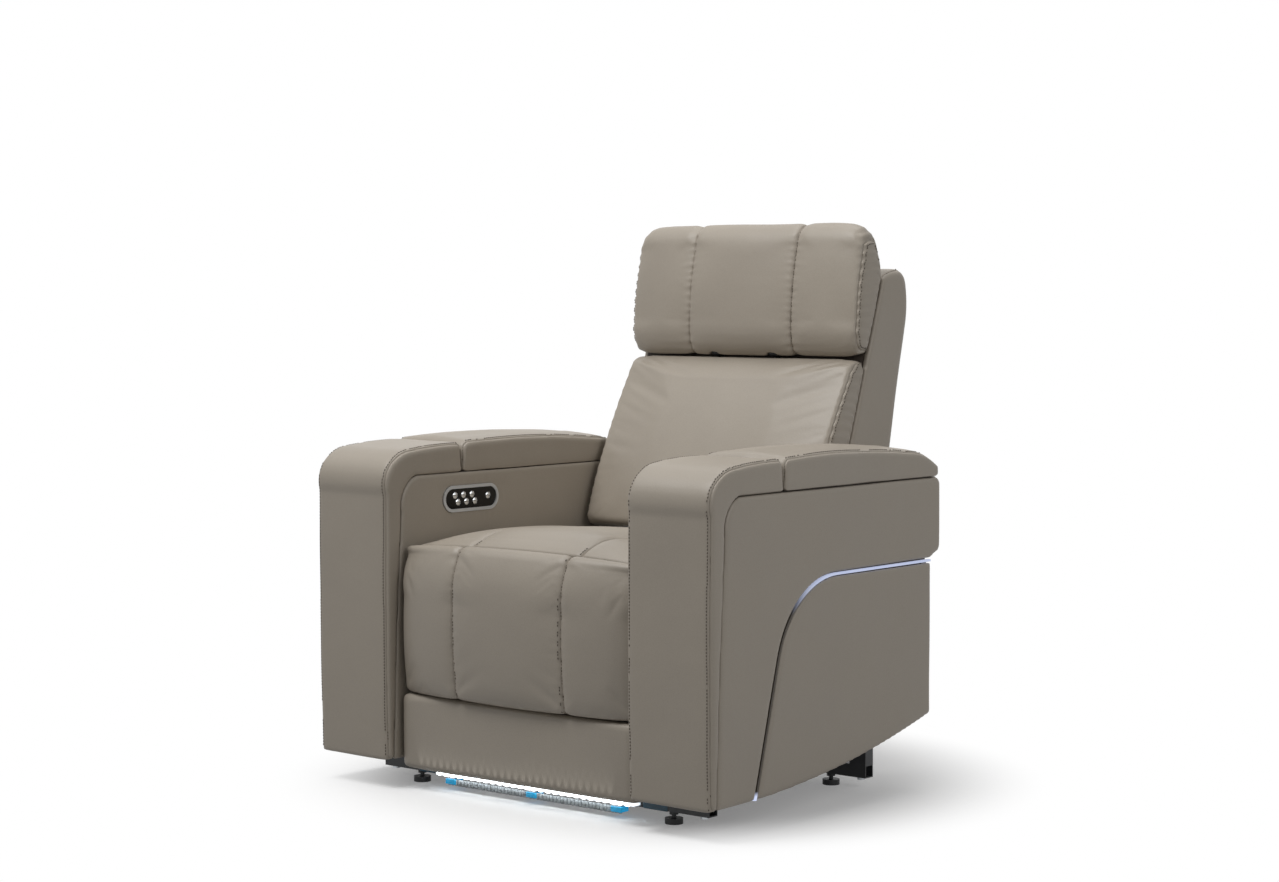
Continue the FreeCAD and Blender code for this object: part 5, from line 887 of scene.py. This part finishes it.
# The back cushion: a plain crowned front, and side strips that are sewn on with a visible row of
# stitches, which gathers them into small folds.
BACK_SEAM = 0.2715
BACK_UPPER_RISE = Vector((0, 0, 0.0032))


def on_back(point, normal):
    """The cushion's front, sides and top, above where the seat hides them."""
    return 1.0 if normal.y < 0.1 and point.z > 0.45 or normal.z > 0.3 and point.z > 0.7 else 0.0


def back_held(point, normal):
    """The cushion's rear, foot and sides stay where they are."""
    return 1.0 if normal.y > 0.15 or point.z < 0.475 or abs(point.x) > 0.266 else 0.0


back = covered("back_cushion_leather", ["back_cushion"], 0.006, 4, 0.0015)
inflate(back, back_held, 0.006)
finer(back)


def over_plate(point):
    """Where the lumbar plate comes out against the foam: the pocket in the cushion's rear."""
    rear = 0.1717 + (point.z - 0.430) * 0.3379
    return 1.0 if abs(point.x) < 0.14 and 0.46 < point.z < 0.64 and point.y > rear - 0.045 else 0.0


settle(back, "back_cushion", over_plate)


def gathers(point, normal, pitch):
    """The small folds that a visible row of stitches gathers into a side strip, in metres."""
    fold = 0.5 + 0.5 * math.sin(2 * math.pi * point.z / pitch + 4.0 * noise.noise(point * 14))
    return 0.0013 * ramp(abs(normal.x), 0.3, 0.7) * fold


press(back, lambda p, n: waves(p, 0.15, 0.0018) * (1 - over_plate(p)) + gathers(p, n, 0.019) * on_back(p, n))
shift(back, lambda p, n: BACK_UPPER_RISE * ramp(n.z, 0.25, 0.6) * ramp(p.z, 0.74, 0.77))
for x in (-BACK_SEAM, BACK_SEAM):
    sew(back, x, 0.0024, 0.005, on_back)
hide_over(back, "back", "back_cushion")
stitched("back_cushion_stitches", back, "back",
         [(x, -ROW_ASIDE, 0.0, on_back) for x in (-BACK_SEAM, BACK_SEAM)])

# The headrest: three panels with two deep seams, and side strips sewn on all round. It stands just
# clear of the back cushion, and its corners are well rounded.
HEADREST_SEAM = 0.125
HEADREST_EDGE = 0.2735
HEADREST_LOWER_DROP = Vector((0, 0, -0.0045))


def on_headrest(point, normal):
    """The headrest's front, sides and top."""
    return 1.0 if normal.y < 0.25 or normal.z > 0.45 else 0.0


def headrest_held(point, normal):
    """The headrest's rear, seams and sides stay where they are."""
    if normal.y > 0.3 or abs(abs(point.x) - HEADREST_SEAM) < SEAM_HALF or abs(point.x) > 0.268:
        return 1.0
    return 0.0


headrest = covered("headrest_leather", ["headrest_cushion"], 0.0055, 4, 0.001)
inflate(headrest, headrest_held, 0.007)
finer(headrest)


def headrest_folds(point, normal):
    """Puckers along both seams, a hollow at each seam's foot, and the folds of the side strips."""
    total = gathers(point, normal, 0.018)
    for x in (-HEADREST_SEAM, HEADREST_SEAM):
        total += pucker(point, x, point.z, 0.008, 0.015, 0.0011)
        low = math.hypot((point.x - x) / 0.03, (point.z - 0.835) / 0.022)
        total += 0.0035 * math.exp(-low * low)
    return total * on_headrest(point, normal)


press(headrest, lambda p, n: waves(p, 0.11, 0.0018) + headrest_folds(p, n))
shift(headrest, lambda p, n: HEADREST_LOWER_DROP * ramp(n.z, -0.2, -0.6) * ramp(p.z, 0.84, 0.82))
for x in (-HEADREST_SEAM, HEADREST_SEAM):
    sew(headrest, x, 0.0050, 0.011, on_headrest)
for x in (-HEADREST_EDGE, HEADREST_EDGE):
    sew(headrest, x, 0.0028, 0.006, on_headrest)
hide_over(headrest, "headrest", "headrest_cushion")
stitched("headrest_stitches", headrest, "headrest",
         [(x, -0.0075, 0.0, on_headrest) for x in (-HEADREST_SEAM, HEADREST_SEAM)] +
         [(x, 0.0060, 0.0, on_headrest) for x in (-HEADREST_EDGE, HEADREST_EDGE)])
